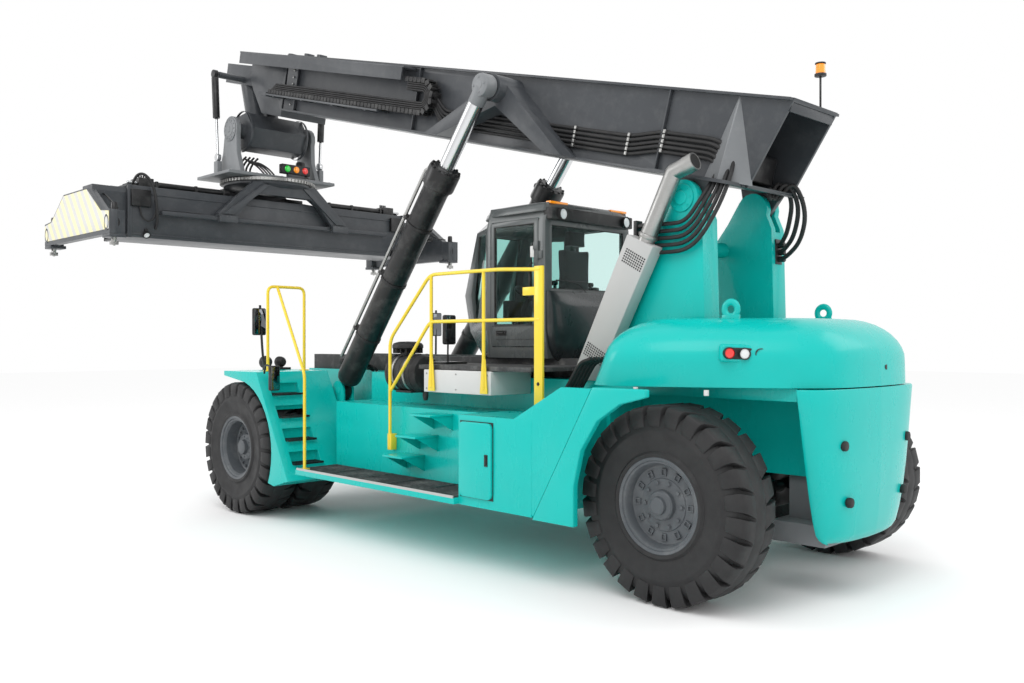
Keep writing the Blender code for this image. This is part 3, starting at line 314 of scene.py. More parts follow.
def copied(piece, place, name=None):
    """A copy of a piece with its own mesh, moved by a matrix."""
    twin = piece.copy()
    twin.data = piece.data.copy()
    twin.data.transform(place)
    if place.determinant() < 0:
        twin.data.flip_normals()
    twin.name = name or piece.name
    bpy.context.scene.collection.objects.link(twin)
    return twin


def repeated(name, piece, places):
    """One piece copied to many places and joined."""
    twins = [copied(piece, place) for place in places]
    bpy.data.objects.remove(piece, do_unlink=True)
    return joined(name, twins)


MIRROR_X = Matrix.Diagonal((-1, 1, 1, 1))


def turn_about(point, angle, axis):
    point = Vector(point)
    return Matrix.Translation(point) @ Matrix.Rotation(angle, 4, axis) @ Matrix.Translation(-point)


def moved(offset):
    return Matrix.Translation(Vector(offset))


def bolt(name, centre, axis, radius=0.016, height=0.012):
    """A hexagon head on a washer."""
    centre = Vector(centre)
    axis = Vector(axis).normalized()
    washer = bar(name, centre - axis * 0.004, centre + axis * 0.004, radius * 1.35, 16, 0.001)
    head = bar("head", centre, centre + axis * height, radius, 6, 0.0015)
    return joined(name, [washer, head])


def bolts(name, centres, axis, radius=0.016, height=0.012):
    first = Vector(centres[0])
    head = bolt(name, first, axis, radius, height)
    return repeated(name, head, [moved(Vector(c) - first) for c in centres])


def refined(node, edge=0.006, segments=2, angle=35):
    """A copy of a frame node with its flat faces joined up and its edges rounded."""
    source = NODES[node]
    piece = source.copy()
    piece.data = source.data.copy()
    for key in list(piece.keys()):
        del piece[key]
    piece.parent = None
    piece.name = node + "_shape"
    bpy.context.scene.collection.objects.link(piece)
    piece.hide_render = False
    piece.hide_viewport = False
    take(piece)
    edit_all()
    bpy.ops.mesh.remove_doubles(threshold=0.0002)
    bpy.ops.mesh.dissolve_limited(angle_limit=radians(0.6))
    object_mode()
    rounded(piece, edge, segments, angle)
    return piece


def bent(points, radius, steps=5):
    """A route with each corner rounded by an arc of about this radius."""
    points = [Vector(p) for p in points]
    line = [points[0]]
    for before, corner, after in zip(points, points[1:], points[2:]):
        reach = min(radius, (before - corner).length * 0.45, (after - corner).length * 0.45)
        start = corner + (before - corner).normalized() * reach
        end = corner + (after - corner).normalized() * reach
        for i in range(steps + 1):
            t = i / steps
            line.append(start.lerp(corner, t).lerp(corner.lerp(end, t), t))
    line.append(points[-1])
    return line


def smooth_outline(points, rounds=2):
    """An open outline with its corners cut again and again, its ends kept."""
    return [(p.x, p.y) for p in route([(x, y, 0) for x, y in points], rounds)]


def mirrored_outline(right, z):
    """A level outline from its right half, whose ends lie on the middle plane."""
    half = smooth_outline(right, 2)
    return [at(x, y, z) for x, y in half + [(-x, y) for x, y in reversed(half[1:-1])]]


def lofted(name, sections, smooth=35):
    """A closed body through level outlines of equal point counts, from the lowest up."""
    count = len(sections[0])
    deselect()
    bpy.ops.mesh.primitive_circle_add(vertices=count, fill_type="NGON")
    piece = named(name)
    mesh = piece.data
    for vertex, place in zip(mesh.vertices, sections[0]):
        vertex.co = place
    ring = list(range(count))
    for section in sections[1:]:
        before = {tuple(round(c, 4) for c in mesh.vertices[i].co.xy): k for k, i in enumerate(ring)}
        bpy.ops.object.mode_set(mode="EDIT")
        bpy.ops.mesh.extrude_region_move(TRANSFORM_OT_translate={"value": (0, 0, 0.01)})
        object_mode()
        raised = [v.index for v in mesh.vertices if v.select]
        ring = [0] * count
        for i in raised:
            ring[before[tuple(round(c, 4) for c in mesh.vertices[i].co.xy)]] = i
        for i, place in zip(ring, section):
            mesh.vertices[i].co = place
    edit_all()
    bpy.ops.mesh.normals_make_consistent(inside=False)
    object_mode()
    bpy.ops.object.shade_smooth_by_angle(angle=radians(smooth))
    return piece


def cut_away(piece, cutter):
    """Cuts one piece by another, which is then removed."""
    take(piece)
    hole = piece.modifiers.new("hole", "BOOLEAN")
    hole.operation = "DIFFERENCE"
    hole.object = cutter
    bpy.ops.object.modifier_apply(modifier="hole")
    bpy.data.objects.remove(cutter, do_unlink=True)
    bpy.ops.object.shade_smooth_by_angle(angle=radians(35))
    return piece


def pocketed(name, low, high, axis, rim_width, depth, edge=0.003):
    """A raised block whose outer face is sunk inside a rim, as on a pressed lug."""
    low = Vector(low)
    high = Vector(high)
    deselect()
    bpy.ops.mesh.primitive_cube_add(size=1, location=(low + high) / 2)
    piece = named(name)
    piece.scale = high - low
    settle(piece)
    direction = Vector(axis)
    bpy.ops.object.mode_set(mode="EDIT")
    bpy.ops.mesh.select_all(action="DESELECT")
    object_mode()
    for face in piece.data.polygons:
        face.select = face.normal.dot(direction) > 0.9
    bpy.ops.object.mode_set(mode="EDIT")
    bpy.ops.mesh.select_mode(type="FACE")
    bpy.ops.mesh.inset(thickness=rim_width, depth=0)
    bpy.ops.mesh.extrude_region_move(TRANSFORM_OT_translate={"value": tuple(-depth * direction)})
    object_mode()
    bpy.ops.object.mode_set(mode="EDIT")
    bpy.ops.mesh.select_mode(type="VERT")
    object_mode()
    return rounded(piece, edge, 2, 40)


BODY_OF = {n: o["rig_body"] for n, o in NODES.items()}


def dress(piece, paint, body, *replaced):
    """Gives a piece its finish and the body that it rides on."""
    piece.data.materials.clear()
    piece.data.materials.append(PAINTS[paint])
    for face in piece.data.polygons:
        face.material_index = 0
    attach(piece, body)
    if replaced:
        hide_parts(*replaced)
    return piece


def dressed_node(node, paint, edge=0.006, segments=2, angle=35):
    """A frame node shown through a copy of it with rounded edges."""
    return dress(refined(node, edge, segments, angle), paint, BODY_OF[node], node)


def hose_over_joint(piece):
    """A hose between the chassis and the boom, given the hose finish; its place is moved into its mesh."""
    piece.data.materials.clear()
    piece.data.materials.append(PAINTS["hose"])
    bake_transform(piece)
    return piece


# ---------------------------------------------------------------- shader effects shared by finishes
COLOUR = "NodeSocketColor"
NUMBER = "NodeSocketFloat"
RESULTS = [("Color", COLOUR), ("Roughness", NUMBER), ("Height", NUMBER)]


def group_with(name, inputs, outputs=RESULTS):
    """An empty node group with its sockets, and its input and output nodes."""
    group = bpy.data.node_groups.new(name, "ShaderNodeTree")
    for socket, kind, value in inputs:
        made = group.interface.new_socket(socket, in_out="INPUT", socket_type=kind)
        made.default_value = value
    for socket, kind in outputs:
        group.interface.new_socket(socket, in_out="OUTPUT", socket_type=kind)
    return group, group.nodes.new("NodeGroupInput"), group.nodes.new("NodeGroupOutput")


class Wiring:
    """Short calls for adding and linking nodes in one tree."""

    def __init__(self, tree):
        self.tree = tree

    def node(self, kind, **settings):
        made = self.tree.nodes.new(kind)
        for key, value in settings.items():
            if key in made.inputs:
                made.inputs[key].default_value = value
            else:
                setattr(made, key, value)
        return made

    def link(self, source, target):
        self.tree.links.new(source, target)

    def noise(self, scale, detail=4.0, roughness=0.55, stretch=(1, 1, 1)):
        """Noise on Object coordinates, stretched along each axis."""
        place = self.node("ShaderNodeTexCoord")
        mapping = self.node("ShaderNodeMapping")
        mapping.inputs["Scale"].default_value = stretch
        self.link(place.outputs["Object"], mapping.inputs["Vector"])
        texture = self.node("ShaderNodeTexNoise")
        texture.inputs["Detail"].default_value = detail
        texture.inputs["Roughness"].default_value = roughness
        if isinstance(scale, (int, float)):
            texture.inputs["Scale"].default_value = scale
        else:
            self.link(scale, texture.inputs["Scale"])
        self.link(mapping.outputs["Vector"], texture.inputs["Vector"])
        return texture.outputs["Fac"]

    def ramp(self, value, low, high, to_low=0.0, to_high=1.0):
        made = self.node("ShaderNodeMapRange")
        for socket, amount in (("From Min", low), ("From Max", high), ("To Min", to_low),
                ("To Max", to_high)):
            if isinstance(amount, (int, float)):
                made.inputs[socket].default_value = amount
            else:
                self.link(amount, made.inputs[socket])
        self.link(value, made.inputs["Value"])
        return made.outputs["Result"]

    def math(self, operation, a, b):
        made = self.node("ShaderNodeMath", operation=operation)
        for socket, value in zip(made.inputs, (a, b)):
            if isinstance(value, (int, float)):
                socket.default_value = value
            else:
                self.link(value, socket)
        return made.outputs["Value"]

    def mix(self, factor, a, b):
        made = self.node("ShaderNodeMix", data_type="RGBA")
        for socket, value in ((made.inputs[0], factor), (made.inputs[6], a), (made.inputs[7], b)):
            if isinstance(value, (int, float)):
                socket.default_value = value
            elif isinstance(value, tuple):
                socket.default_value = value
            else:
                self.link(value, socket)
        return made.outputs[2]


def paint_film_group():
    """Sprayed paint: slow shade changes, orange peel, a little dust that lies in patches."""
    group, inside, outside = group_with(
        "paint_film",
        [("Paint", COLOUR, (0.5, 0.5, 0.5, 1)), ("Dust", COLOUR, (0.5, 0.5, 0.48, 1)),
            ("Dust Amount", NUMBER, 0.08), ("Shade Change", NUMBER, 0.08),
            ("Gloss Low", NUMBER, 0.25), ("Gloss High", NUMBER, 0.38),
            ("Peel Scale", NUMBER, 140.0)])
    w = Wiring(group)
    slow = w.noise(1.3, 3.0)
    shade = w.ramp(slow, 0.3, 0.7, w.math("SUBTRACT", 1.0, inside.outputs["Shade Change"]), 1.0)
    darker = w.node("ShaderNodeVectorMath", operation="SCALE")
    w.link(inside.outputs["Paint"], darker.inputs[0])
    w.link(shade, darker.inputs["Scale"])
    patches = w.ramp(w.noise(5.0, 8.0, 0.7), 0.48, 0.72, 0.0, 1.0)
    dusty = w.math("MULTIPLY", patches, inside.outputs["Dust Amount"])
    w.link(w.mix(dusty, darker.outputs["Vector"], inside.outputs["Dust"]), outside.inputs["Color"])
    streak = w.noise(3.0, 6.0, 0.6, (1, 1, 0.4))
    gloss = w.ramp(streak, 0.3, 0.7, inside.outputs["Gloss Low"], inside.outputs["Gloss High"])
    w.link(w.math("ADD", gloss, w.math("MULTIPLY", dusty, 0.6)), outside.inputs["Roughness"])
    w.link(w.noise(inside.outputs["Peel Scale"], 2.0), outside.inputs["Height"])
    return group


def rubber_skin_group():
    """Moulded rubber: fine pebbling, pale dust in patches, and shine that varies."""
    group, inside, outside = group_with(
        "rubber_skin",
        [("Rubber", COLOUR, (0.02, 0.02, 0.02, 1)), ("Dust", COLOUR, (0.16, 0.15, 0.14, 1)),
            ("Dust Amount", NUMBER, 0.25), ("Pebble Scale", NUMBER, 90.0)])
    w = Wiring(group)
    patches = w.ramp(w.noise(2.6, 8.0, 0.68), 0.42, 0.75, 0.0, 1.0)
    dusty = w.math("MULTIPLY", patches, inside.outputs["Dust Amount"])
    w.link(w.mix(dusty, inside.outputs["Rubber"], inside.outputs["Dust"]), outside.inputs["Color"])
    w.link(w.ramp(w.noise(7.0, 5.0), 0.3, 0.7, 0.52, 0.72), outside.inputs["Roughness"])
    pebble = w.noise(inside.outputs["Pebble Scale"], 3.0)
    w.link(w.math("ADD", w.math("MULTIPLY", pebble, 0.4), w.noise(14.0, 4.0)), outside.inputs["Height"])
    return group


def machined_metal_group():
    """Drawn or ground metal: fine lines along one axis and slow changes of shine."""
    group, inside, outside = group_with(
        "machined_metal",
        [("Metal", COLOUR, (0.6, 0.6, 0.6, 1)), ("Dark", COLOUR, (0.3, 0.3, 0.3, 1)),
            ("Gloss Low", NUMBER, 0.12), ("Gloss High", NUMBER, 0.25)])
    w = Wiring(group)
    lines = w.noise(30.0, 6.0, 0.6, (1.0, 1.0, 14.0))
    w.link(w.mix(w.ramp(lines, 0.35, 0.75, 0.0, 0.35), inside.outputs["Metal"], inside.outputs["Dark"]),
        outside.inputs["Color"])
    w.link(w.ramp(w.noise(6.0, 5.0), 0.3, 0.7, inside.outputs["Gloss Low"], inside.outputs["Gloss High"]),
        outside.inputs["Roughness"])
    w.link(lines, outside.inputs["Height"])
    return group


def woven_cloth_group():
    """Seat cloth: crossed threads, with flecks of a paler yarn."""
    group, inside, outside = group_with(
        "woven_cloth",
        [("Yarn", COLOUR, (0.02, 0.02, 0.022, 1)), ("Fleck", COLOUR, (0.09, 0.09, 0.1, 1)),
            ("Threads", NUMBER, 260.0)])
    w = Wiring(group)
    place = w.node("ShaderNodeTexCoord")
    waves = []
    for direction in ("X", "Z"):
        wave = w.node("ShaderNodeTexWave", bands_direction=direction)
        wave.inputs["Distortion"].default_value = 0.6
        w.link(inside.outputs["Threads"], wave.inputs["Scale"])
        w.link(place.outputs["Object"], wave.inputs["Vector"])
        waves.append(wave.outputs["Fac"])
    weave = w.math("MULTIPLY", waves[0], waves[1])
    flecks = w.ramp(w.noise(180.0, 2.0), 0.55, 0.7, 0.0, 0.8)
    w.link(w.mix(flecks, inside.outputs["Yarn"], inside.outputs["Fleck"]), outside.inputs["Color"])
    w.link(w.ramp(weave, 0.0, 1.0, 0.95, 0.8), outside.inputs["Roughness"])
    w.link(weave, outside.inputs["Height"])
    return group


def slanted_bands_group():
    """Warning bands that slant across a plate."""
    group, inside, outside = group_with(
        "slanted_bands",
        [("Ground", COLOUR, (0.6, 0.6, 0.58, 1)), ("Band", COLOUR, (0.8, 0.74, 0.45, 1)),
            ("Width", NUMBER, 0.24)])
    w = Wiring(group)
    place = w.node("ShaderNodeTexCoord")
    split = w.node("ShaderNodeSeparateXYZ")
    w.link(place.outputs["Object"], split.inputs["Vector"])
    across = w.math("ADD", split.outputs["Y"], w.math("MULTIPLY", split.outputs["Z"], 0.8))
    along = w.math("ADD", across, w.math("MULTIPLY", split.outputs["X"], 1.0))
    turns = w.math("FRACT", w.math("DIVIDE", along, inside.outputs["Width"]), 0.0)
    step = w.ramp(turns, 0.49, 0.51)
    wear = w.ramp(w.noise(9.0, 8.0, 0.7), 0.55, 0.75, 0.0, 0.35)
    painted = w.mix(step, inside.outputs["Ground"], inside.outputs["Band"])
    w.link(w.mix(wear, painted, (0.42, 0.42, 0.4, 1)), outside.inputs["Color"])
    w.link(w.ramp(w.noise(12.0, 4.0), 0.3, 0.7, 0.35, 0.5), outside.inputs["Roughness"])
    w.link(w.noise(120.0, 2.0), outside.inputs["Height"])
    return group


GROUPS = {
    "paint_film": paint_film_group(),
    "rubber_skin": rubber_skin_group(),
    "machined_metal": machined_metal_group(),
    "woven_cloth": woven_cloth_group(),
    "slanted_bands": slanted_bands_group(),
}


def finish_of(name, effect, values, bump=0.1, depth=0.001, **shader_values):
    """A finish: a shader fed by one effect, placed with its own values."""
    made = bpy.data.materials.new(name)
    made.use_nodes = True
    w = Wiring(made.node_tree)
    shader = made.node_tree.nodes["Principled BSDF"]
    group = w.node("ShaderNodeGroup")
    group.node_tree = GROUPS[effect]
    for socket, value in values.items():
        group.inputs[socket].default_value = value
    raised = w.node("ShaderNodeBump")
    raised.inputs["Strength"].default_value = bump
    raised.inputs["Distance"].default_value = depth
    w.link(group.outputs["Color"], shader.inputs["Base Color"])
    w.link(group.outputs["Roughness"], shader.inputs["Roughness"])
    w.link(group.outputs["Height"], raised.inputs["Height"])
    w.link(raised.outputs["Normal"], shader.inputs["Normal"])
    for socket, value in shader_values.items():
        shader.inputs[socket.replace("_", " ")].default_value = value
    return made


def painted(name, colour, low, high, coat=0.0, dust=0.05, change=0.06, peel=140.0, bump=0.05, shine=0.4):
    return finish_of(name, "paint_film", {
            "Paint": (*colour, 1), "Dust Amount": dust, "Shade Change": change, "Gloss Low": low,
            "Gloss High": high, "Peel Scale": peel}, bump, 0.0006, Coat_Weight=coat, Coat_Roughness=0.08,
        Specular_IOR_Level=shine)


def glass(name, colour, roughness=0.02, alpha=1.0):
    """Tinted glass: thin, clear, and smeared a little."""
    made = bpy.data.materials.new(name)
    made.use_nodes = True
    w = Wiring(made.node_tree)
    shader = made.node_tree.nodes["Principled BSDF"]
    shader.inputs["Base Color"].default_value = (*colour, 1)
    shader.inputs["Transmission Weight"].default_value = 1.0
    shader.inputs["IOR"].default_value = 1.15
    shader.inputs["Alpha"].default_value = alpha
    w.link(w.ramp(w.noise(4.0, 5.0), 0.4, 0.8, roughness, roughness + 0.05), shader.inputs["Roughness"])
    return made


def lens(name, colour, glow=0.0):
    """A moulded lamp lens with fine ribs."""
    made = finish_of(name, "machined_metal", {
            "Metal": (*colour, 1), "Dark": (*[c * 0.6 for c in colour], 1), "Gloss Low": 0.08,
            "Gloss High": 0.16},
        0.2, 0.001, Coat_Weight=1.0, Coat_Roughness=0.03)
    shader = made.node_tree.nodes["Principled BSDF"]
    shader.inputs["Emission Color"].default_value = (*colour, 1)
    shader.inputs["Emission Strength"].default_value = glow
    return made


PAINTS = {
    "teal": painted("teal_gloss_paint", (0.002, 0.5, 0.455), 0.24, 0.32, coat=0.1, dust=0.01, change=0.04,
        shine=0.28),
    "grey": painted("boom_grey_paint", (0.052, 0.057, 0.064), 0.3, 0.4, dust=0.05, change=0.1, bump=0.06),
    "pale_grey": painted("bracket_grey_paint", (0.2, 0.21, 0.22), 0.34, 0.46, dust=0.08, change=0.1),
    "duct": painted("duct_grey_paint", (0.48, 0.48, 0.475), 0.38, 0.5, dust=0.06, change=0.08),
    "cab": painted("cab_grey_paint", (0.085, 0.095, 0.096), 0.24, 0.34, coat=0.2, dust=0.04, change=0.06),
    "slate": painted("cab_slate_paint", (0.018, 0.024, 0.026), 0.22, 0.32, coat=0.2, dust=0.04,
        change=0.08),
    "black": painted("black_paint", (0.014, 0.014, 0.015), 0.28, 0.42, dust=0.1, change=0.15, bump=0.06),
    "deck": painted("deck_coating", (0.045, 0.046, 0.048), 0.55, 0.75, dust=0.25, change=0.15, peel=60.0,
        bump=0.5),
    "rim": painted("rim_grey_paint", (0.085, 0.095, 0.105), 0.34, 0.46, dust=0.12, change=0.15, bump=0.1),
    "yellow": painted("yellow_rail_paint", (0.9, 0.66, 0.035), 0.28, 0.4, coat=0.3, dust=0.05, change=0.05),
    "white": painted("white_box_paint", (0.62, 0.62, 0.61), 0.3, 0.42, coat=0.2, dust=0.06, change=0.06),
    "plastic": painted("black_moulded_plastic", (0.016, 0.016, 0.017), 0.45, 0.6, dust=0.12, peel=220.0,
        bump=0.35),
    "tyre": finish_of("tyre_rubber", "rubber_skin", {
            "Rubber": (0.01, 0.01, 0.011, 1), "Dust": (0.045, 0.044, 0.043, 1), "Dust Amount": 0.22,
            "Pebble Scale": 70.0}, 0.35, 0.002),
    "hose": finish_of("hose_rubber", "rubber_skin", {
            "Rubber": (0.012, 0.012, 0.013, 1), "Dust Amount": 0.1, "Pebble Scale": 300.0}, 0.2, 0.0006),
    # This black rubber is also laid as painted shade: flat dark discs in the duct perforations, the corner
    # fitting holes and the stack mouth.
    "seal": finish_of("black_rubber_and_hole_shade", "rubber_skin", {
            "Rubber": (0.01, 0.01, 0.01, 1), "Dust Amount": 0.06, "Pebble Scale": 400.0}, 0.15, 0.0004),
    "chrome": finish_of("chromed_rod", "machined_metal", {
            "Metal": (0.66, 0.67, 0.68, 1), "Dark": (0.48, 0.49, 0.5, 1), "Gloss Low": 0.13,
            "Gloss High": 0.22},
        0.05, 0.0003, Metallic=1.0),
    "steel": finish_of("bare_steel", "machined_metal", {
            "Metal": (0.42, 0.42, 0.41, 1), "Dark": (0.22, 0.21, 0.2, 1), "Gloss Low": 0.3,
            "Gloss High": 0.5},
        0.12, 0.0006, Metallic=1.0),
    "cloth": finish_of("seat_cloth", "woven_cloth", {}, 0.5, 0.001, Sheen_Weight=0.3),
    "hazard": finish_of("hazard_plate_paint", "slanted_bands", {}, 0.05, 0.0005),
    "glass": glass("cab_glass", (0.8, 0.93, 0.91)),
    "tint": glass("cab_tinted_glass", (0.34, 0.62, 0.57)),
    "lamp": glass("headlamp_glass", (0.95, 0.97, 1.0), 0.05),
    "mirror": finish_of("mirror_glass", "machined_metal", {
            "Metal": (0.16, 0.17, 0.18, 1), "Dark": (0.12, 0.13, 0.14, 1), "Gloss Low": 0.02,
            "Gloss High": 0.05},
        0.0, 0.0001, Metallic=1.0),
    "clear": lens("clear_lens", (0.72, 0.74, 0.75), 0.1),
    "red": lens("red_lens", (0.75, 0.02, 0.015), 0.25),
    "amber": lens("amber_lens", (0.95, 0.3, 0.01), 0.3),
    "green": lens("green_lens", (0.02, 0.55, 0.05), 0.4),
}


# ---------------------------------------------------------------- wheels
LUGS = 26
TYRE_CROWN = 0.826
TYRE_TOP = 0.83


def tyre(name, centre, body, node):
    """A deep-lugged tyre: its carcass turned whole, and one lug copied round each shoulder."""
    outer = [(0.388, 0.2), (0.402, 0.236), (0.43, 0.243), (0.452, 0.224), (0.5, 0.231), (0.59, 0.241),
        (0.606, 0.2475), (0.622, 0.2475), (0.634, 0.241), (0.7, 0.236), (0.742, 0.22),
        (0.766, 0.196), (0.78, 0.15), (0.806, 0.112), (0.82, 0.09), (TYRE_CROWN, 0.07)]
    profile = outer + [(r, -h) for r, h in reversed(outer)]
    carcass = spun("carcass", profile, centre, (1, 0, 0), 80, 30)
    side_view = [(0.07, 0.78), (0.07, 0.8262), (0.12, 0.829), (0.2, 0.8265), (0.232, 0.812),
        (0.249, 0.775), (0.2495, 0.69), (0.243, 0.65), (0.215, 0.655), (0.19, 0.735)]
    lug = panel("lug", side_view, "Y", -0.073, 0.073, 0.006)
    for vertex in lug.data.vertices:
        x, y, r = vertex.co
        inner = max(0.0, min(1.0, (0.15 - x) / 0.08))
        y *= (1.0 + 0.3 * inner) * min(1.0, r / 0.8) ** 1.2
        y += (0.16 - x) * 0.3
        vertex.co.y = y
        vertex.co.z = min(r, (TYRE_TOP ** 2 - y ** 2) ** 0.5)
    pitch = 2 * pi / LUGS
    places = []
    for k in range(LUGS):
        places.append(Matrix.Translation(centre) @ Matrix.Rotation(pitch * k, 4, "X"))
        places.append(Matrix.Translation(centre) @ Matrix.Rotation(pitch * (k + 0.5), 4, "X") @ MIRROR_X)
    tread = repeated("tread", lug, places)
    dress(joined(name, [carcass, tread]), "tyre", body, node)


def rim_pockets(centre, side, face, radius, count):
    """The ring of pressed pockets on a rim's disc."""
    x0, x1 = sorted((side * (face - 0.01), side * (face + 0.016)))
    pocket = pocketed("pocket", (x0, -0.026, radius - 0.03), (x1, 0.026, radius + 0.03), (side, 0, 0),
        0.009, 0.022, 0.002)
    return repeated("pockets", pocket, [Matrix.Translation(centre) @ Matrix.Rotation(2 * pi * k / count, 4,
                "X")
            for k in range(count)])


def ring_of_bolts(name, centre, side, face, radius, count, size=0.018, height=0.016):
    return bolts(name, [Vector(centre) + Vector((side * face, radius * cos(2 * pi * k / count),
                    radius * sin(2 * pi * k / count)))
            for k in range(count)], (side, 0, 0), size, height)


def rear_wheel(side):
    word = SIDES[side]
    centre = middle(f"rear_tyre_{word}")
    body = f"rear_wheel_{word}"
    tyre(f"rear_tyre_{word}_rubber", centre, body, f"rear_tyre_{word}")
    half = [(0, 0.25), (0.056, 0.25), (0.072, 0.24), (0.078, 0.212), (0.112, 0.204), (0.124, 0.19),
        (0.128, 0.152), (0.16, 0.147), (0.215, 0.144), (0.222, 0.136), (0.305, 0.13), (0.325, 0.138),
        (0.338, 0.196), (0.352, 0.214), (0.368, 0.216), (0.374, 0.228), (0.396, 0.236), (0.408, 0.228),
        (0.405, 0.2), (0.3845, 0.19), (0.3845, -0.19), (0.405, -0.2), (0.408, -0.228),
        (0.39, -0.234), (0.356, -0.216), (0.34, -0.2), (0.328, 0.05), (0.1, 0.05), (0.1, -0.02),
        (0, -0.02)]
    dish = spun("dish", half, centre, (side, 0, 0), 72, 30)
    rim = joined(f"rear_rim_{word}_dish", [dish, rim_pockets(centre, side, 0.132, 0.268, 12),
            ring_of_bolts("nuts", centre, side, 0.145, 0.185, 10)])
    dress(rim, "rim", body, f"rear_rim_{word}")


def front_wheel(side):
    word = SIDES[side]
    body = f"front_wheel_{word}"
    tyre(f"front_outer_tyre_{word}_rubber", middle(f"front_outer_tyre_{word}"), body,
        f"front_outer_tyre_{word}")
    tyre(f"front_inner_tyre_{word}_rubber", middle(f"front_inner_tyre_{word}"), body,
        f"front_inner_tyre_{word}")
    outer = middle(f"front_outer_tyre_{word}")
    inner = middle(f"front_inner_tyre_{word}")
    centre = (outer + inner) / 2
    reach = abs(outer.x - centre.x)
    half = [(0, 0.45), (0.07, 0.45), (0.09, 0.44), (0.098, 0.4), (0.15, 0.394), (0.168, 0.38),
        (0.178, 0.335), (0.2, 0.326), (0.3, 0.32), (0.318, 0.33), (0.33, reach + 0.18),
        (0.348, reach + 0.205), (0.366, reach + 0.212), (0.372, reach + 0.226), (0.396, reach + 0.236),
        (0.408, reach + 0.228), (0.405, reach + 0.2), (0.3845, reach + 0.19), (0.3845, -reach - 0.19),
        (0.405, -reach - 0.2), (0.408, -reach - 0.228), (0.356, -reach - 0.216), (0.34, -reach - 0.19),
        (0.33, 0.24), (0, 0.24)]
    dish = spun("dish", half, centre, (side, 0, 0), 72, 30)
    rim = joined(f"front_rim_{word}_dish", [
            dish, ring_of_bolts("wheel_nuts", centre, side, 0.322, 0.262, 20, 0.017, 0.024),
            ring_of_bolts("hub_bolts", centre, side, 0.392, 0.128, 12, 0.011, 0.01)])
    dress(rim, "rim", body, f"front_rim_{word}")


def build_wheels():
    for side in SIDES:
        front_wheel(side)
        rear_wheel(side)
        dressed_node(f"steering_knuckle_{SIDES[side]}", "black", 0.008)
    dressed_node("front_axle", "black", 0.006)
    dressed_node("steer_axle", "black", 0.01)
    rams = []
    for side in SIDES:
        rams.append(bar("steer_ram", at(side * 0.1, 6.54, 0.86), at(side * 0.62, 6.54, 0.86), 0.055, 28))
        rams.append(bar("steer_rod", at(side * 0.6, 6.54, 0.86), at(side * 0.88, 6.52, 0.86), 0.028, 20))
        rams.append(block("ram_clamp", at(side * 0.36 - 0.07, 6.44, 0.78),
                at(side * 0.36 + 0.07, 6.62, 0.94), 0.01))
    dress(joined("steering_rams", rams), "black", "chassis")


# ---------------------------------------------------------------- body panels
def hood_outline(front, rear, y_front, y_bend, y_rear, z):
    """A level outline round the tail, with rounded corners."""
    right = [(0, y_front), (front * 0.6, y_front), (front, y_front),
        (front * 0.92, y_front + 0.45 * (y_bend - y_front)),
        (rear, y_bend), (rear * 0.74, y_rear - 0.07), (rear * 0.36, y_rear - 0.01), (0, y_rear)]
    return mirrored_outline(right, z)


def lifting_eye(x, y, z):
    deselect()
    bpy.ops.mesh.primitive_torus_add(major_segments=32, minor_segments=12, major_radius=0.064,
        minor_radius=0.03,
        location=at(x, y, z), rotation=(0, pi / 2, 0))
    ring = named("eye_ring")
    ring.scale = (1, 1, 0.55)
    settle(ring)
    bpy.ops.object.shade_smooth()
    return joined("lifting_eye", [ring, block("eye_foot", at(x - 0.017, y - 0.085, z - 0.14),
                at(x + 0.017, y + 0.085, z - 0.045), 0.006)])


def build_hood():
    base = (1.68, 0.99, 5.62, 7.08, 7.444)
    crown = (1.06, 0.66, 5.96, 6.62, 6.98)
    foot_z = 1.803
    knee_z = 2.0
    top_z = 2.385
    sections = [hood_outline(1.68, 0.99, 5.5, 7.08, 7.444, foot_z),
        hood_outline(1.68, 0.99, 5.52, 7.08, 7.444, 1.83),
        hood_outline(1.675, 0.985, 5.6, 7.07, 7.442, knee_z)]
    for step in range(1, 10):
        lean = radians(10 * step)
        values = [c + (b - c) * cos(lean) for b, c in zip(base, crown)]
        sections.append(hood_outline(*values, knee_z + (top_z - knee_z) * sin(lean)))
    hood = lofted("hood_dome", sections, 40)
    cut_away(hood, block("notch", at(-0.74, 5.2, 1.7), at(0.74, 6.19, 2.7), 0.001))
    dress(joined("hood_shell", [hood, *[lifting_eye(side * 0.83, 6.49, 2.46) for side in SIDES]]),
        "teal", "chassis", "hood")


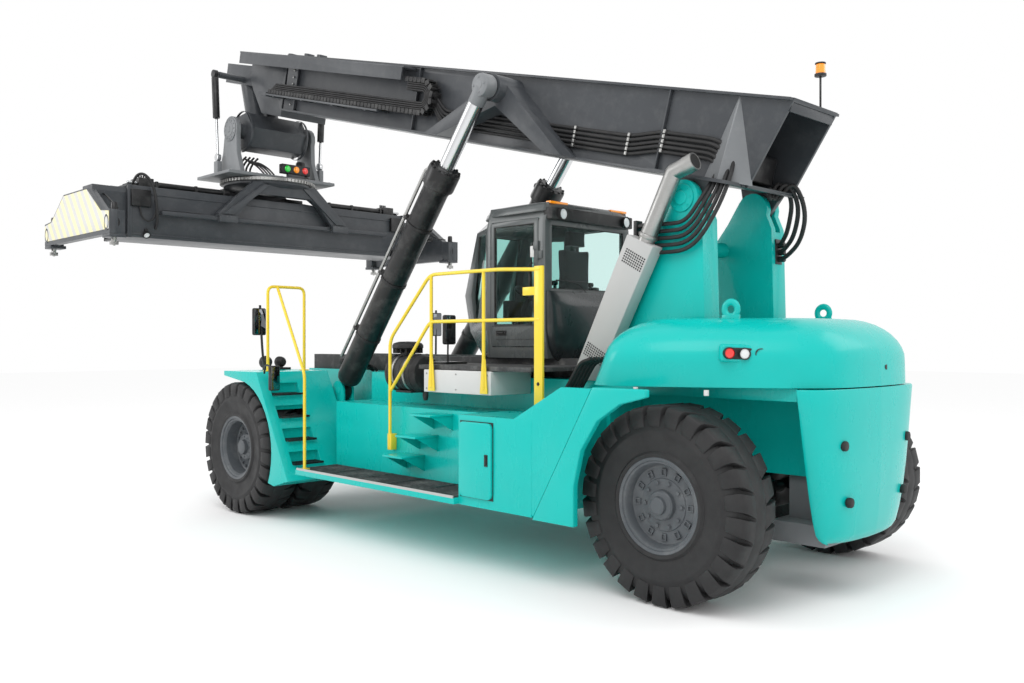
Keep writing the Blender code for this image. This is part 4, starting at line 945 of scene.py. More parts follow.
def build_counterweight():
    levels = [(0.5, 0.6, 7.34, 0.055), (0.512, 0.62, 7.36, 0.03), (0.535, 0.645, 7.385, 0.012),
        (0.58, 0.68, 7.405, 0.0), (0.7, 0.73, 7.42, 0.0), (0.9, 0.79, 7.435, 0.0), (1.1, 0.84, 7.443, 0.0),
        (1.35, 0.9, 7.445, 0.0), (1.6, 0.955, 7.445, 0.0), (1.778, 0.995, 7.445, 0.0),
        (1.792, 0.988, 7.438, 0.0)]
    sections = []
    for z, half, y1, inset in levels:
        y0 = 7.18 + inset
        right = [(0, y0), (half * 0.5, y0), (half, y0), (half, y0 + 0.05), (half * 0.93, y1 - 0.115),
            (half * 0.74, y1 - 0.045), (half * 0.42, y1 - 0.01), (0, y1)]
        sections.append(mirrored_outline(right, z))
    dress(lofted("counterweight_casting", sections, 40), "teal", "chassis", "counterweight")
    ballast = joined("lower_ballast", [block("ballast", at(-0.56, 6.72, 0.46), at(0.56, 7.22, 0.64), 0.008),
            block("ballast_web", at(-0.36, 6.78, 0.6), at(0.36, 7.18, 1.04), 0.008)])
    dress(ballast, "pale_grey", "chassis")
    stops = [at(x, y, z) for x, y, z in ((0.6, 7.385, 1.33), (0.52, 7.392, 0.86), (-0.6, 7.385, 1.33),
            (-0.52, 7.392, 0.86))]
    rubber = joined("rear_rubber_stops", [bar("stop", p, p + Vector((0, 0.05, 0)), 0.042, 28, 0.012)
            for p in stops])
    dress(rubber, "seal", "chassis")


def grated_tread(name, low, high, bars=9):
    """A step of bars between two edge strips."""
    low = Vector(low)
    high = Vector(high)
    size = high - low
    pieces = [block("edge", low, (high.x, low.y + 0.015, high.z), 0.002),
        block("edge", (low.x, high.y - 0.015, low.z), high, 0.002)]
    gap = size.x / bars
    for i in range(bars + 1):
        x = min(low.x + gap * i, high.x - 0.008)
        pieces.append(block("slat", (x, low.y, low.z), (x + 0.008, high.y, high.z - 0.003), 0.001, 1))
    return joined(name, pieces)


def build_body_panels():
    for side, word in SIDES.items():
        dressed_node(f"side_box_{word}", "teal", 0.01, 3)
        dressed_node(f"rear_fender_{word}", "teal", 0.012, 3)
        dressed_node(f"front_fender_{word}", "teal", 0.012, 3)
        treads = []
        for i in range(4):
            z = 0.7 + 0.27 * i
            slope_y = 1.24 - (z - 0.53) * (1.24 - 0.51) / 1.27
            x0, x1 = sorted_x(side, 1.505, 1.895)
            treads.append(grated_tread("tread", at(x0, slope_y - 0.125, z + 0.004),
                    at(x1, slope_y + 0.06, z + 0.03)))
        dress(joined(f"fender_steps_{word}", treads), "black", "chassis")
        x0, x1 = sorted_x(side, 1.445, 1.985)
        plates = []
        for k in range(5):
            y0 = 1.4 + 0.55 * k
            plates.append(grated_tread("plate", at(x0, y0, 0.678), at(x1, y0 + 0.54, 0.7), 12))
        dress(joined(f"walkway_grating_{word}", plates), "deck", "chassis")
        x0, x1 = sorted_x(side, 1.985, 1.999)
        trim = block(f"walkway_edge_{word}", at(x0, 1.38, 0.655), at(x1, 4.16, 0.705), 0.003)
        dress(trim, "duct", "chassis")
        steps = []
        for y, z in ((2.88, 0.93), (3.11, 1.16), (3.35, 1.4)):
            x0, x1 = sorted_x(side, 1.41, 1.75)
            steps.append(block("step", at(x0, y - 0.17, z), at(x1, y + 0.17, z + 0.022), 0.004))
            web = [(side * 1.42, z), (side * 1.72, z), (side * 1.42, z - 0.16)]
            for edge_y in (y - 0.16, y + 0.15):
                steps.append(panel("gusset", web, "Y", FRONT_Y + edge_y, FRONT_Y + edge_y + 0.01, 0.001))
        dress(joined(f"deck_steps_{word}", steps), "teal", "chassis")
    dressed_node("main_frame", "teal", 0.01, 3)
    dressed_node("engine_block", "black", 0.012)
    dressed_node("boom_towers", "teal", 0.014, 3)
    dressed_node("battery_box", "white", 0.008, 3)
    dressed_node("cab_deck", "deck", 0.006)
    panels = []
    low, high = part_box("battery_box")
    for y in (low.y + 0.05, (low.y + high.y) / 2, high.y - 0.05):
        panels += [Vector((high.x, y, z)) for z in (low.z + 0.04, high.z - 0.04)]
    dress(bolts("battery_box_rivets", panels, (1, 0, 0), 0.007, 0.004), "steel", "chassis")
    for side, word in SIDES.items():
        centre = Vector((side * 0.72, PIVOT.y, PIVOT.z))
        cap = spun("cap", [(0, 0.034), (0.06, 0.034), (0.066, 0.028), (0.068, 0.018), (0.125, 0.016),
                (0.13, 0.01),
                (0.13, 0), (0, 0)], centre, (side, 0, 0), 48)
        pins = ring_of_bolts("pin_bolts", centre, side, 0.016, 0.098, 8, 0.01, 0.008)
        dress(joined(f"boom_pivot_cap_{word}", [cap, pins]), "teal", "chassis")


def build_side_door():
    dressed_node("side_door", "teal", 0.005, 2)
    low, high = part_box("side_door")
    seam = block("side_door_seal", (low.x - 0.002, low.y - 0.008, low.z - 0.008),
        (low.x + 0.004, high.y + 0.008, high.z + 0.008), 0.001)
    dress(seam, "seal", "chassis")
    y = high.y - 0.06
    handle = joined("side_door_handle", [
            pocketed("plate", (high.x - 0.002, y - 0.022, 1.02), (high.x + 0.007, y + 0.022, 1.13),
                (1, 0, 0), 0.006, 0.006, 0.002),
            block("lever", (high.x + 0.002, y - 0.009, 1.035), (high.x + 0.014, y + 0.009, 1.115), 0.004)])
    dress(handle, "plastic", "side_door_body")


# ---------------------------------------------------------------- exhaust, intake and deck fittings
def build_exhaust():
    side_view = [(4.72, 1.8), (5.05, 1.8), (5.73, 3.05), (5.43, 3.19)]
    duct = panel("duct", [(FRONT_Y + y, z) for y, z in side_view], "X", 0.775, 0.935, 0.01)
    stack = pipe("stack", [at(0.85, 5.52, 2.98), at(0.85, 5.9, 3.71), at(0.85, 5.91, 3.72),
            at(0.85, 6.12, 3.785)],
        0.08, 0, 8)
    mouth = spun("mouth", [(0.07, 0.1), (0.083, 0.1), (0.085, 0.09), (0.084, 0.0), (0.07, 0.0)],
        at(0.85, 6.04, 3.76), at(0, 0.21, 0.065) - at(0, 0, 0), 40)
    collar = spun("collar", [(0.088, 0.02), (0.092, 0.015), (0.092, -0.015), (0.088, -0.02)],
        at(0.85, 5.615, 3.163),
        at(0, 0.39, 0.74) - at(0, 0, 0), 40)
    dress(duct, "duct", "chassis")
    duct.name = "exhaust_duct_shell"
    dress(joined("exhaust_stack", [stack, mouth, collar]), "steel", "chassis", "exhaust_duct")
    # A flat dark disc across the stack's mouth: painted shade inside the pipe, with its soot.
    mouth_soot_and_shade = spun("exhaust_mouth_dark", [(0, 0.098), (0.07, 0.098), (0.07, 0.088), (0, 0.088)],
        at(0.85, 6.04, 3.76),
        at(0, 0.21, 0.065) - at(0, 0, 0), 32)
    dress(mouth_soot_and_shade, "seal", "chassis")
    slope = Vector((0, 5.73 - 5.05, 3.05 - 1.8)).normalized()
    across = Vector((0, slope.z, -slope.y))
    foot = at(0.937, 4.885, 1.8)
    holes = []
    for band in (0.24, 1.24):
        for row in range(6):
            for column in range(10):
                holes.append(foot + slope * (band + 0.024 * row) + across * (-0.117 + 0.026 * column))
    # Each perforation is a flat dark disc on the duct face: painted shade in its hole.
    first = bar("hole", holes[0] - Vector((0.004, 0, 0)), holes[0] + Vector((0.002, 0, 0)), 0.008, 10,
        0.001)
    dress(repeated("duct_perforations", first, [moved(h - holes[0]) for h in holes]), "seal", "chassis")
    lines = []
    for k in range(5):
        x = 0.98 + 0.055 * k
        lines.append(pipe("line", bent([at(x, 5.22, 2.02), at(x, 5.08, 1.98), at(x, 4.74, 1.5),
                        at(x, 4.7, 1.4)],
                    0.06), 0.019))
    dress(joined("cooling_lines", lines), "hose", "chassis")


def build_air_cleaner():
    centre = Vector((1.17, (FRONT_Y + 2.5), 1.82))
    profile = [(0, 0.31), (0.06, 0.31), (0.075, 0.295), (0.13, 0.285), (0.185, 0.27), (0.205, 0.24),
        (0.212, 0.2),
        (0.218, 0.196), (0.218, 0.17), (0.212, 0.166), (0.21, 0.02), (0.216, 0.016), (0.216, -0.016),
        (0.21, -0.02), (0.208, -0.2), (0.216, -0.205), (0.216, -0.235), (0.2, -0.25), (0.17, -0.285),
        (0.08, -0.298), (0, -0.298)]
    canister = spun("canister", profile, centre, (0, 1, 0), 56, 30)
    stem_base = at(1.17, 2.42, 1.98)
    stem = spun("stem", [(0, 0.16), (0.086, 0.16), (0.086, 0.13), (0.078, 0.12), (0.078, 0.09),
            (0.086, 0.08),
            (0.086, 0.05), (0.078, 0.04), (0.09, 0.0), (0, 0.0)], stem_base, (0, 0, 1), 40)
    cap = spun("rain_cap", [(0, 0.075), (0.1, 0.072), (0.16, 0.055), (0.178, 0.03), (0.178, 0.0),
            (0.165, -0.008),
            (0.09, -0.012), (0, -0.012)], at(1.17, 2.42, 2.105), (0, 0, 1), 48)
    vanes = repeated("vanes", block("vane", at(1.17 + 0.1, 2.415, 2.045), at(1.17 + 0.172, 2.425, 2.1),
            0.001, 1),
        [turn_about(at(1.17, 2.42, 2.1), 2 * pi * k / 16, "Z") for k in range(16)])
    bracket = block("bracket", at(0.9, 2.36, 1.6), at(1.3, 2.64, 1.625), 0.006)
    straps = [spun("strap", [(0.213, 0.018), (0.222, 0.016), (0.222, -0.016), (0.213, -0.018)],
            centre + Vector((0, y, 0)), (0, 1, 0), 56) for y in (-0.1, 0.1)]
    valve = spun("dust_valve", [(0, 0.0), (0.03, 0.0), (0.034, -0.05), (0.024, -0.1), (0, -0.105)],
        at(1.17, 2.74, 1.62), (0, 0, 1), 24)
    dress(joined("air_cleaner_canister", [canister, stem, cap, vanes, bracket, valve]), "plastic",
        "chassis", "air_cleaner")
    dress(joined("air_cleaner_straps", straps), "steel", "chassis")


def build_railings():
    radius = 0.019
    x = 1.5
    top = 2.89
    mid = 2.39
    rail = [pipe("top", bent([at(x, 2.52, 0.99), at(x, 2.52, 2.2), at(x, 3.22, top), at(x, 4.28, top),
                    at(x, 4.85, top - 0.03)],
                0.1), radius, 0, 4),
        pipe("mid", bent([at(x, 2.52, 1.62), at(x, 3.22, mid), at(x, 4.85, mid)], 0.08), radius * 0.97, 0,
            4),
        pipe("post", [at(x, 3.24, 1.7), at(x, 3.24, top)], radius * 0.97, 0, 4),
        pipe("post", [at(x, 4.06, 1.7), at(x, 4.06, top)], radius * 0.97, 0, 4),
        block("gate_post", at(x - 0.014, 4.775, 1.485), at(x + 0.014, 4.885, top + 0.004), 0.004),
        block("gate_latch", at(x - 0.018, 4.62, 2.62), at(x + 0.012, 4.79, 2.7), 0.004),
        block("foot", at(1.433, 2.485, 0.97), at(1.512, 2.555, 1.15), 0.004)]
    for y in (3.24, 4.06):
        fin = [(FRONT_Y + y - 0.055, 1.655), (FRONT_Y + y + 0.055, 1.655), (FRONT_Y + y + 0.024, 2.0),
            (FRONT_Y + y - 0.024, 2.0)]
        rail.append(panel("fin", fin, "X", x - 0.008, x + 0.004, 0.002))
    dress(joined("platform_railing_tubes", rail), "yellow", "chassis", "platform_railing")
    holes = [at(x + 0.014, 4.83, z) for z in (1.56, 1.78)]
    dress(bolts("gate_post_bolts", holes, (1, 0, 0), 0.013, 0.006), "plastic", "chassis")
    rail_top = 2.87
    front = [pipe("hoop", bent([at(1.25, 0.35, 1.8), at(1.25, 0.35, rail_top), at(1.8, 0.39, rail_top),
                    at(1.8, 0.39, 1.8)],
                0.09), radius, 0, 4),
        pipe("slant", bent([at(1.66, 0.38, rail_top), at(1.95, 1.48, 1.8), at(1.95, 1.48, 0.69)], 0.08),
            radius * 0.97, 0, 4)]
    for px, py in ((1.25, 0.35), (1.8, 0.39)):
        front.append(block("foot", at(px - 0.045, py - 0.045, 1.802), at(px + 0.045, py + 0.045, 1.815),
                0.004))
    front.append(block("foot", at(1.905, 1.435, 0.69), at(1.988, 1.525, 0.705), 0.004))
    dress(joined("front_handrail_tubes", front), "yellow", "chassis", "front_handrail")


def headlamp(name, centre, direction, radius=0.075):
    """A round lamp: a bowl and a glass."""
    bowl = spun(name + "_bowl", [(0, -0.09), (radius * 0.55, -0.085), (radius * 0.9, -0.04), (radius, 0.0),
            (radius, 0.03),
            (radius * 0.9, 0.032), (radius * 0.86, 0.01), (0, 0.006)], centre, direction, 36)
    dress(bowl, "plastic", "chassis")
    lens_piece = spun(name + "_glass", [(0, 0.03), (radius * 0.5, 0.027), (radius * 0.86, 0.018),
            (radius * 0.86, 0.012),
            (0, 0.012)], centre, direction, 36)
    dress(lens_piece, "clear", "chassis")


def turned_block(name, centre, along, outward, size, edge):
    """A rounded block whose long side lies along one line and whose face looks outward."""
    piece = block(name, Vector(size) * -0.5, Vector(size) * 0.5, edge, 4)
    up = along.cross(outward)
    piece.data.transform(Matrix.Translation(centre) @ Matrix((along, outward, up)).transposed().to_4x4())
    return piece


def mirror_head(name, centre, width, height, body):
    """A mirror in a moulded housing; its glass faces rearwards."""
    c = Vector(centre)
    shell = block(name + "_housing", c + Vector((-width / 2, -0.045, -height / 2)),
        c + Vector((width / 2, 0.012, height / 2)),
        0.022, 4)
    dress(shell, "plastic", body)
    pane = block(name + "_glass", c + Vector((-width / 2 + 0.014, 0.01, -height / 2 + 0.014)),
        c + Vector((width / 2 - 0.014, 0.0155, height / 2 - 0.014)), 0.003)
    dress(pane, "mirror", body)


def build_lamps_and_mirrors():
    for side, word in SIDES.items():
        headlamp(f"front_lamp_{word}_outer", at(side * 1.4, -0.36, 1.9), (0, -1, 0), 0.085)
        headlamp(f"front_lamp_{word}_inner", at(side * 1.18, -0.36, 1.9), (0, -1, 0), 0.075)
        mount = joined(f"front_lamp_bracket_{word}", [
                block("arm", at(side * 1.29 - 0.18, -0.33, 1.795), at(side * 1.29 + 0.18, -0.2, 1.83),
                    0.005),
                bar("stem", at(side * 1.4, -0.3, 1.8), at(side * 1.4, -0.36, 1.86), 0.02),
                bar("stem", at(side * 1.18, -0.3, 1.8), at(side * 1.18, -0.36, 1.86), 0.02)])
        dress(mount, "black", "chassis")
    for side, word in SIDES.items():
        mast = [at(side * 1.48, -0.26, 1.79), at(side * 1.5, -0.28, 2.1), at(side * 1.52, -0.3, 2.66)]
        dress(pipe(f"mirror_mast_{word}", bent(mast, 0.1), 0.016), "plastic", "chassis")
        mirror_head(f"mast_mirror_{word}", at(side * 1.53, -0.29, 2.44), 0.19, 0.36, "chassis")
    arm = pipe("fender_mirror_arm", bent([at(1.97, 0.6, 1.79), at(2.02, 0.72, 1.9), at(2.05, 0.95, 1.86)],
            0.06), 0.012)
    dress(arm, "plastic", "chassis")
    mirror_head("fender_mirror_left", at(2.04, 0.97, 1.74), 0.14, 0.3, "chassis")
    for side, word in SIDES.items():
        outer = at(side * 1.3, 6.66, 2.09)
        inner = at(side * 0.9, 6.95, 2.07)
        along = (inner - outer).normalized()
        direction = Vector((along.y, -along.x, 0)) * side
        bezel = turned_block(f"tail_lamp_bezel_{word}", (outer + inner) / 2, along, direction,
            (0.46, 0.09, 0.15), 0.03)
        dress(bezel, "teal", "chassis")
        well = turned_block(f"tail_lamp_well_{word}", (outer + inner) / 2 + direction * 0.012, along,
            direction,
            (0.4, 0.08, 0.105), 0.02)
        dress(well, "seal", "chassis")
        for name, share, paint in (("tail", 0.16, "red"), ("indicator", 0.42, "clear"),
                ("reverse", 0.7, "clear")):
            spot = outer.lerp(inner, share) + direction * 0.055
            shell = spun("case", [(0, -0.05), (0.048, -0.05), (0.05, -0.02), (0.05, 0.022), (0.043, 0.024),
                    (0.041, 0.01), (0, 0.008)], spot, direction, 32)
            dress(shell, "plastic", "chassis")
            shell.name = f"{name}_lamp_case_{word}"
            face = spun(f"{name}_lamp_lens_{word}",
                [(0, 0.022), (0.026, 0.02), (0.041, 0.014), (0.041, 0.008),
                    (0, 0.008)], spot, direction, 32)
            dress(face, paint, "chassis")
        clips = [block("clip", at(side * 1.6, y, 1.755), at(side * 1.63, y + 0.03, 1.8), 0.003)
            for y in (6.05, 6.75)]
        dress(joined(f"hood_clips_{word}", clips), "white", "chassis")
    camera_pod = joined("rear_camera_pod", [
            block("arm", at(-0.12, 7.28, 1.95), at(-0.09, 7.43, 1.97), 0.003),
            block("pod", at(-0.14, 7.37, 1.93), at(-0.06, 7.44, 1.99), 0.01),
            bar("eye", at(-0.1, 7.435, 1.96), at(-0.1, 7.444, 1.96), 0.018)])
    dress(camera_pod, "plastic", "chassis")


# ---------------------------------------------------------------- cab
def pane(name, corners, thickness, tint, body):
    """A pane of glass with a black seal round it, through corners given in order."""
    deselect()
    bpy.ops.mesh.primitive_plane_add(size=1)
    piece = named(name)
    for vertex, corner in zip([piece.data.vertices[i] for i in piece.data.polygons[0].vertices], corners):
        vertex.co = corner
    piece.location = (0, 0, 0)
    settle(piece)
    wall = piece.modifiers.new("wall", "SOLIDIFY")
    wall.thickness = thickness
    wall.offset = 0
    bpy.ops.object.modifier_apply(modifier="wall")
    dress(piece, tint, body)
    ring = [Vector(c) for c in corners]
    seal = pipe(name + "_seal", [*ring, ring[0]], 0.012, 0, 2)
    dress(seal, "seal", body)


def build_cab():
    dressed_node("cab_shell", "cab", 0.01, 3)
    dressed_node("cab_door", "cab", 0.008, 2)
    rear = FRONT_Y + 4.15
    belly = lofted("cab_rear_belly", [
            [(x, y, z) for x, y in smooth_outline(
                    [(-w, rear + 0.002), (-w, rear + d * 0.6), (-w * 0.7, rear + d),
                        (w * 0.7, rear + d), (w, rear + d * 0.6), (w, rear + 0.002)], 2)]
            for z, w, d in ((1.935, 0.4, 0.02), (1.96, 0.5, 0.06), (2.02, 0.59, 0.1), (2.12, 0.65, 0.125),
                (2.3, 0.685, 0.135), (2.55, 0.69, 0.12), (2.68, 0.69, 0.085), (2.715, 0.688, 0.05))])
    dress(belly, "slate", "cab")
    rear_y = rear - 0.012
    pane("rear_window", [(-0.6, rear_y, 2.74), (0.6, rear_y, 2.74), (0.6, rear_y, 3.42),
            (-0.6, rear_y, 3.42)],
        0.006, "glass", "cab")
    side_x = -0.7 + 0.01
    pane("right_window", [(side_x, FRONT_Y + 3.36, 2.72), (side_x, FRONT_Y + 4.05, 2.72),
            (side_x, FRONT_Y + 4.05, 3.48), (side_x, FRONT_Y + 3.36, 3.48)], 0.006, "glass", "cab")
    pane("door_glass", [(0.69, FRONT_Y + 3.37, 2.36), (0.69, FRONT_Y + 3.98, 2.36),
            (0.69, FRONT_Y + 3.98, 3.44),
            (0.69, FRONT_Y + 3.37, 3.44)], 0.006, "glass", "cab_door_body")
    low_y = FRONT_Y + 2.675
    high_y = FRONT_Y + 2.775
    pane("front_window", [(-0.28, low_y, 2.36), (0.28, low_y, 2.36), (0.28, high_y, 3.42),
            (-0.28, high_y, 3.42)],
        0.006, "tint", "cab")
    for side, word in SIDES.items():
        front_low = (side * 0.447, FRONT_Y + 2.765, 2.37)
        front_high = (side * 0.437, FRONT_Y + 2.855, 3.41)
        back_low = (side * 0.652, FRONT_Y + 3.185, 2.37)
        back_high = (side * 0.65, FRONT_Y + 3.195, 3.41)
        pane(f"corner_window_{word}", [front_low, back_low, back_high, front_high], 0.006, "tint", "cab")
    roof = lofted("cab_roof_cap", [
            mirrored_outline([(0, f), (n, f), (h * 0.98, 3.26), (h, 4.0), (h * 0.96, r), (0, r)], z)
            for z, h, n, f, r in ((3.565, 0.715, 0.43, 2.92, 4.195), (3.6, 0.715, 0.42, 2.94, 4.2),
                (3.64, 0.69, 0.4, 2.99, 4.18), (3.665, 0.64, 0.36, 3.06, 4.14),
                (3.68, 0.56, 0.3, 3.16, 4.06))])
    dress(roof, "cab", "cab")
    visor = block("roof_rear_visor", at(-0.68, 4.1, 3.47), at(0.68, 4.225, 3.6), 0.014, 3)
    dress(visor, "plastic", "cab")
    for side, word in SIDES.items():
        marker = block(f"roof_marker_{word}", at(side * 0.5 - 0.14, 4.1, 3.645),
            at(side * 0.5 + 0.14, 4.17, 3.672), 0.008, 3)
        dress(marker, "amber", "cab")
        spot = at(side * 0.53, 4.235, 3.53)
        shell = spun(f"work_lamp_{word}",
            [(0, -0.03), (0.06, -0.03), (0.066, 0.0), (0.066, 0.03), (0.058, 0.032),
                (0.054, 0.018), (0, 0.014)], spot, (0, 1, 0), 36)
        dress(shell, "plastic", "cab")
        face = spun(f"work_lamp_glass_{word}",
            [(0, 0.028), (0.03, 0.027), (0.054, 0.022), (0.054, 0.017), (0, 0.017)],
            spot, (0, 1, 0), 36)
        dress(face, "clear", "cab")
    wiper = joined("rear_wiper", [
            pipe("arm", bent([at(0.05, 4.175, 2.7), at(0.2, 4.185, 2.8), at(0.42, 4.185, 2.83)], 0.03),
                0.006),
            block("blade", at(0.1, 4.168, 2.822), at(0.56, 4.18, 2.838), 0.003),
            bar("pivot", at(0.05, 4.15, 2.7), at(0.05, 4.19, 2.7), 0.016)])
    dress(wiper, "plastic", "cab")
    seams = [block("seam", at(0.6985, 3.33, 2.345), at(0.7025, 4.03, 2.352), 0.001),
        block("seam", at(0.6985, 3.4, 2.2), at(0.7025, 4.0, 2.205), 0.001)]
    dress(joined("door_panel_seams", seams), "seal", "cab_door_body")
    handle = joined("cab_door_handle", [
            pocketed("plate", at(0.699, 3.4, 2.245), at(0.708, 3.56, 2.3), (1, 0, 0), 0.007, 0.006, 0.002),
            block("lever", at(0.703, 3.42, 2.262), at(0.722, 3.53, 2.284), 0.006),
            bar("lock", at(0.7, 3.545, 2.272), at(0.713, 3.545, 2.272), 0.012)])
    dress(handle, "plastic", "cab_door_body")
    grip = pipe("door_grip", bent([at(0.7, 3.96, 2.62), at(0.745, 3.96, 2.64), at(0.745, 3.96, 3.0),
                at(0.7, 3.96, 3.02)],
            0.02), 0.01)
    dress(grip, "plastic", "cab_door_body")
    sticker = block("door_blank_label", at(0.7005, 3.93, 3.08), at(0.7025, 3.985, 3.2), 0.001)
    dress(sticker, "white", "cab_door_body")
    stand = joined("cab_mirror_stand", [
            pipe("mast", bent([at(1.02, 2.95, 1.93), at(1.02, 2.95, 2.1), at(1.03, 2.98, 2.4)], 0.05),
                0.01),
            block("plate", at(0.86, 2.8, 1.929), at(1.18, 3.1, 1.955), 0.006)])
    dress(stand, "black", "chassis")
    mirror_head("deck_mirror", at(1.03, 3.0, 2.31), 0.17, 0.33, "chassis")
    skirt = joined("cab_slide_shoes", [block("shoe", at(side * 0.45 - 0.1, y, 1.995),
                at(side * 0.45 + 0.1, y + 0.22, 2.03), 0.006)
            for side in SIDES for y in (3.0, 3.8)])
    dress(skirt, "black", "cab")


def cushion(name, low, high, puff, body, node=None, channels=()):
    """A stuffed form: a subdivided block, crowned, with its corners drawn in and channels sewn across."""
    low = Vector(low)
    high = Vector(high)
    size = high - low
    deselect()
    bpy.ops.mesh.primitive_cube_add(size=1, location=(low + high) / 2)
    piece = named(name)
    piece.scale = size
    settle(piece)
    edit_all()
    bpy.ops.mesh.subdivide(number_cuts=7)
    object_mode()
    centre = (low + high) / 2
    thin = min(range(3), key=lambda i: size[i])
    others = [i for i in range(3) if i != thin]
    for vertex in piece.data.vertices:
        offset = vertex.co - centre
        u, v = (2 * offset[i] / size[i] for i in others)
        crown = max(0.0, 1 - u * u) * max(0.0, 1 - v * v)
        vertex.co[thin] += (1 if offset[thin] > 0 else -1) * puff * crown ** 0.5
        for channel_axis, place in channels:
            away = abs(vertex.co[channel_axis] - place)
            if offset[thin] * (1 if thin == 2 else -1) > 0:
                vertex.co[thin] -= (1 if offset[thin] > 0 else -1) * 0.014 * max(0.0, 1 - away / 0.035)
        for i, w in zip(others, (v, u)):
            vertex.co[i] -= offset[i] * 0.06 * (1 - w * w) * abs(2 * offset[i] / size[i]) ** 3
    soft = piece.modifiers.new("soft", "SUBSURF")
    soft.levels = 2
    soft.render_levels = 2
    take(piece)
    bpy.ops.object.modifier_apply(modifier="soft")
    bpy.ops.object.shade_smooth()
    dress(piece, "cloth", body, *([node] if node else []))
    return piece


def build_seat():
    low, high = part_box("operator_seat")
    x = low.x
    cushion("seat_cushion", (x + 0.02, low.y + 0.02, 2.56), (-x - 0.02, low.y + 0.5, 2.67), 0.014, "cab",
        "operator_seat",
        [(0, x + 0.13), (0, -x - 0.13)])
    cushion("seat_backrest", (x + 0.04, high.y - 0.125, 2.66), (-x - 0.04, high.y - 0.025, 3.2), 0.014,
        "cab", None,
        [(2, 2.92)])
    cushion("seat_headrest", (-0.13, high.y - 0.1, 3.24), (0.13, high.y - 0.02, 3.405), 0.01, "cab")
    hard = [block("pan", (x + 0.03, low.y + 0.04, 2.51), (-x - 0.03, low.y + 0.49, 2.56), 0.012, 3),
        bar("post", (0, low.y + 0.26, 2.06), (0, low.y + 0.26, 2.48), 0.07, 28),
        spun("bellows", [(0, 0.3)] + [(0.15 if k % 2 else 0.18, 0.3 - 0.03 * k)
                for k in range(9)] + [(0, 0.06)],
            (0, low.y + 0.26, 2.1), (0, 0, 1), 32),
        bar("head_post", (-0.06, high.y - 0.06, 3.18), (-0.06, high.y - 0.06, 3.27), 0.007, 12),
        bar("head_post", (0.06, high.y - 0.06, 3.18), (0.06, high.y - 0.06, 3.27), 0.007, 12)]
    for side in SIDES:
        hard.append(block("armrest", (side * 0.3 - 0.035, high.y - 0.36, 2.8),
                (side * 0.3 + 0.035, high.y - 0.06, 2.85), 0.018, 4))
        hard.append(block("arm_link", (side * 0.3 - 0.015, high.y - 0.1, 2.62),
                (side * 0.3 + 0.015, high.y - 0.07, 2.82), 0.006))
    hard.append(block("console", (-0.42, high.y - 0.42, 2.6), (-0.33, high.y - 0.05, 2.8), 0.02, 3))
    hard.append(bar("lever", (-0.375, high.y - 0.36, 2.78), (-0.375, high.y - 0.4, 2.95), 0.012, 16))
    hard.append(ball("lever_grip", (-0.375, high.y - 0.405, 2.97), 0.026, (1, 1, 1.4)))
    dress(joined("seat_frame", hard), "plastic", "cab")
    column = [pipe("column", bent([(0, low.y - 0.42, 2.08), (0, low.y - 0.36, 2.45),
                    (0, low.y - 0.22, 2.72)], 0.1), 0.035),
        block("dash", (-0.2, low.y - 0.47, 2.42), (0.2, low.y - 0.36, 2.66), 0.02, 3),
        block("floor_mat", (-0.58, low.y - 0.35, 2.052), (0.58, high.y + 0.18, 2.062), 0.003)]
    deselect()
    bpy.ops.mesh.primitive_torus_add(major_segments=48, minor_segments=12, major_radius=0.19,
        minor_radius=0.014,
        location=(0, low.y - 0.2, 2.74), rotation=(radians(-28), 0, 0))
    wheel = settle(named("steering_wheel"))
    bpy.ops.object.shade_smooth()
    spokes = [bar("spoke", (0, low.y - 0.2, 2.74),
            Vector((0, low.y - 0.2, 2.74)) + Matrix.Rotation(radians(-28), 3, "X")
            @ Vector((0.185 * cos(a), 0.185 * sin(a), 0)), 0.01, 12) for a in (0.5, 2.6, 4.7)]
    dress(joined("steering_column", [*column, wheel, *spokes]), "plastic", "cab")


# ---------------------------------------------------------------- boom
def boom_block(name, x0, x1, s0, s1, h0, h1, edge=0.004, segments=2):
    """A block in the boom's frame."""
    piece = block(name, (x0, -s1, h0), (x1, -s0, h1), edge, segments)
    piece.data.transform(BOOM_PLACE)
    return piece


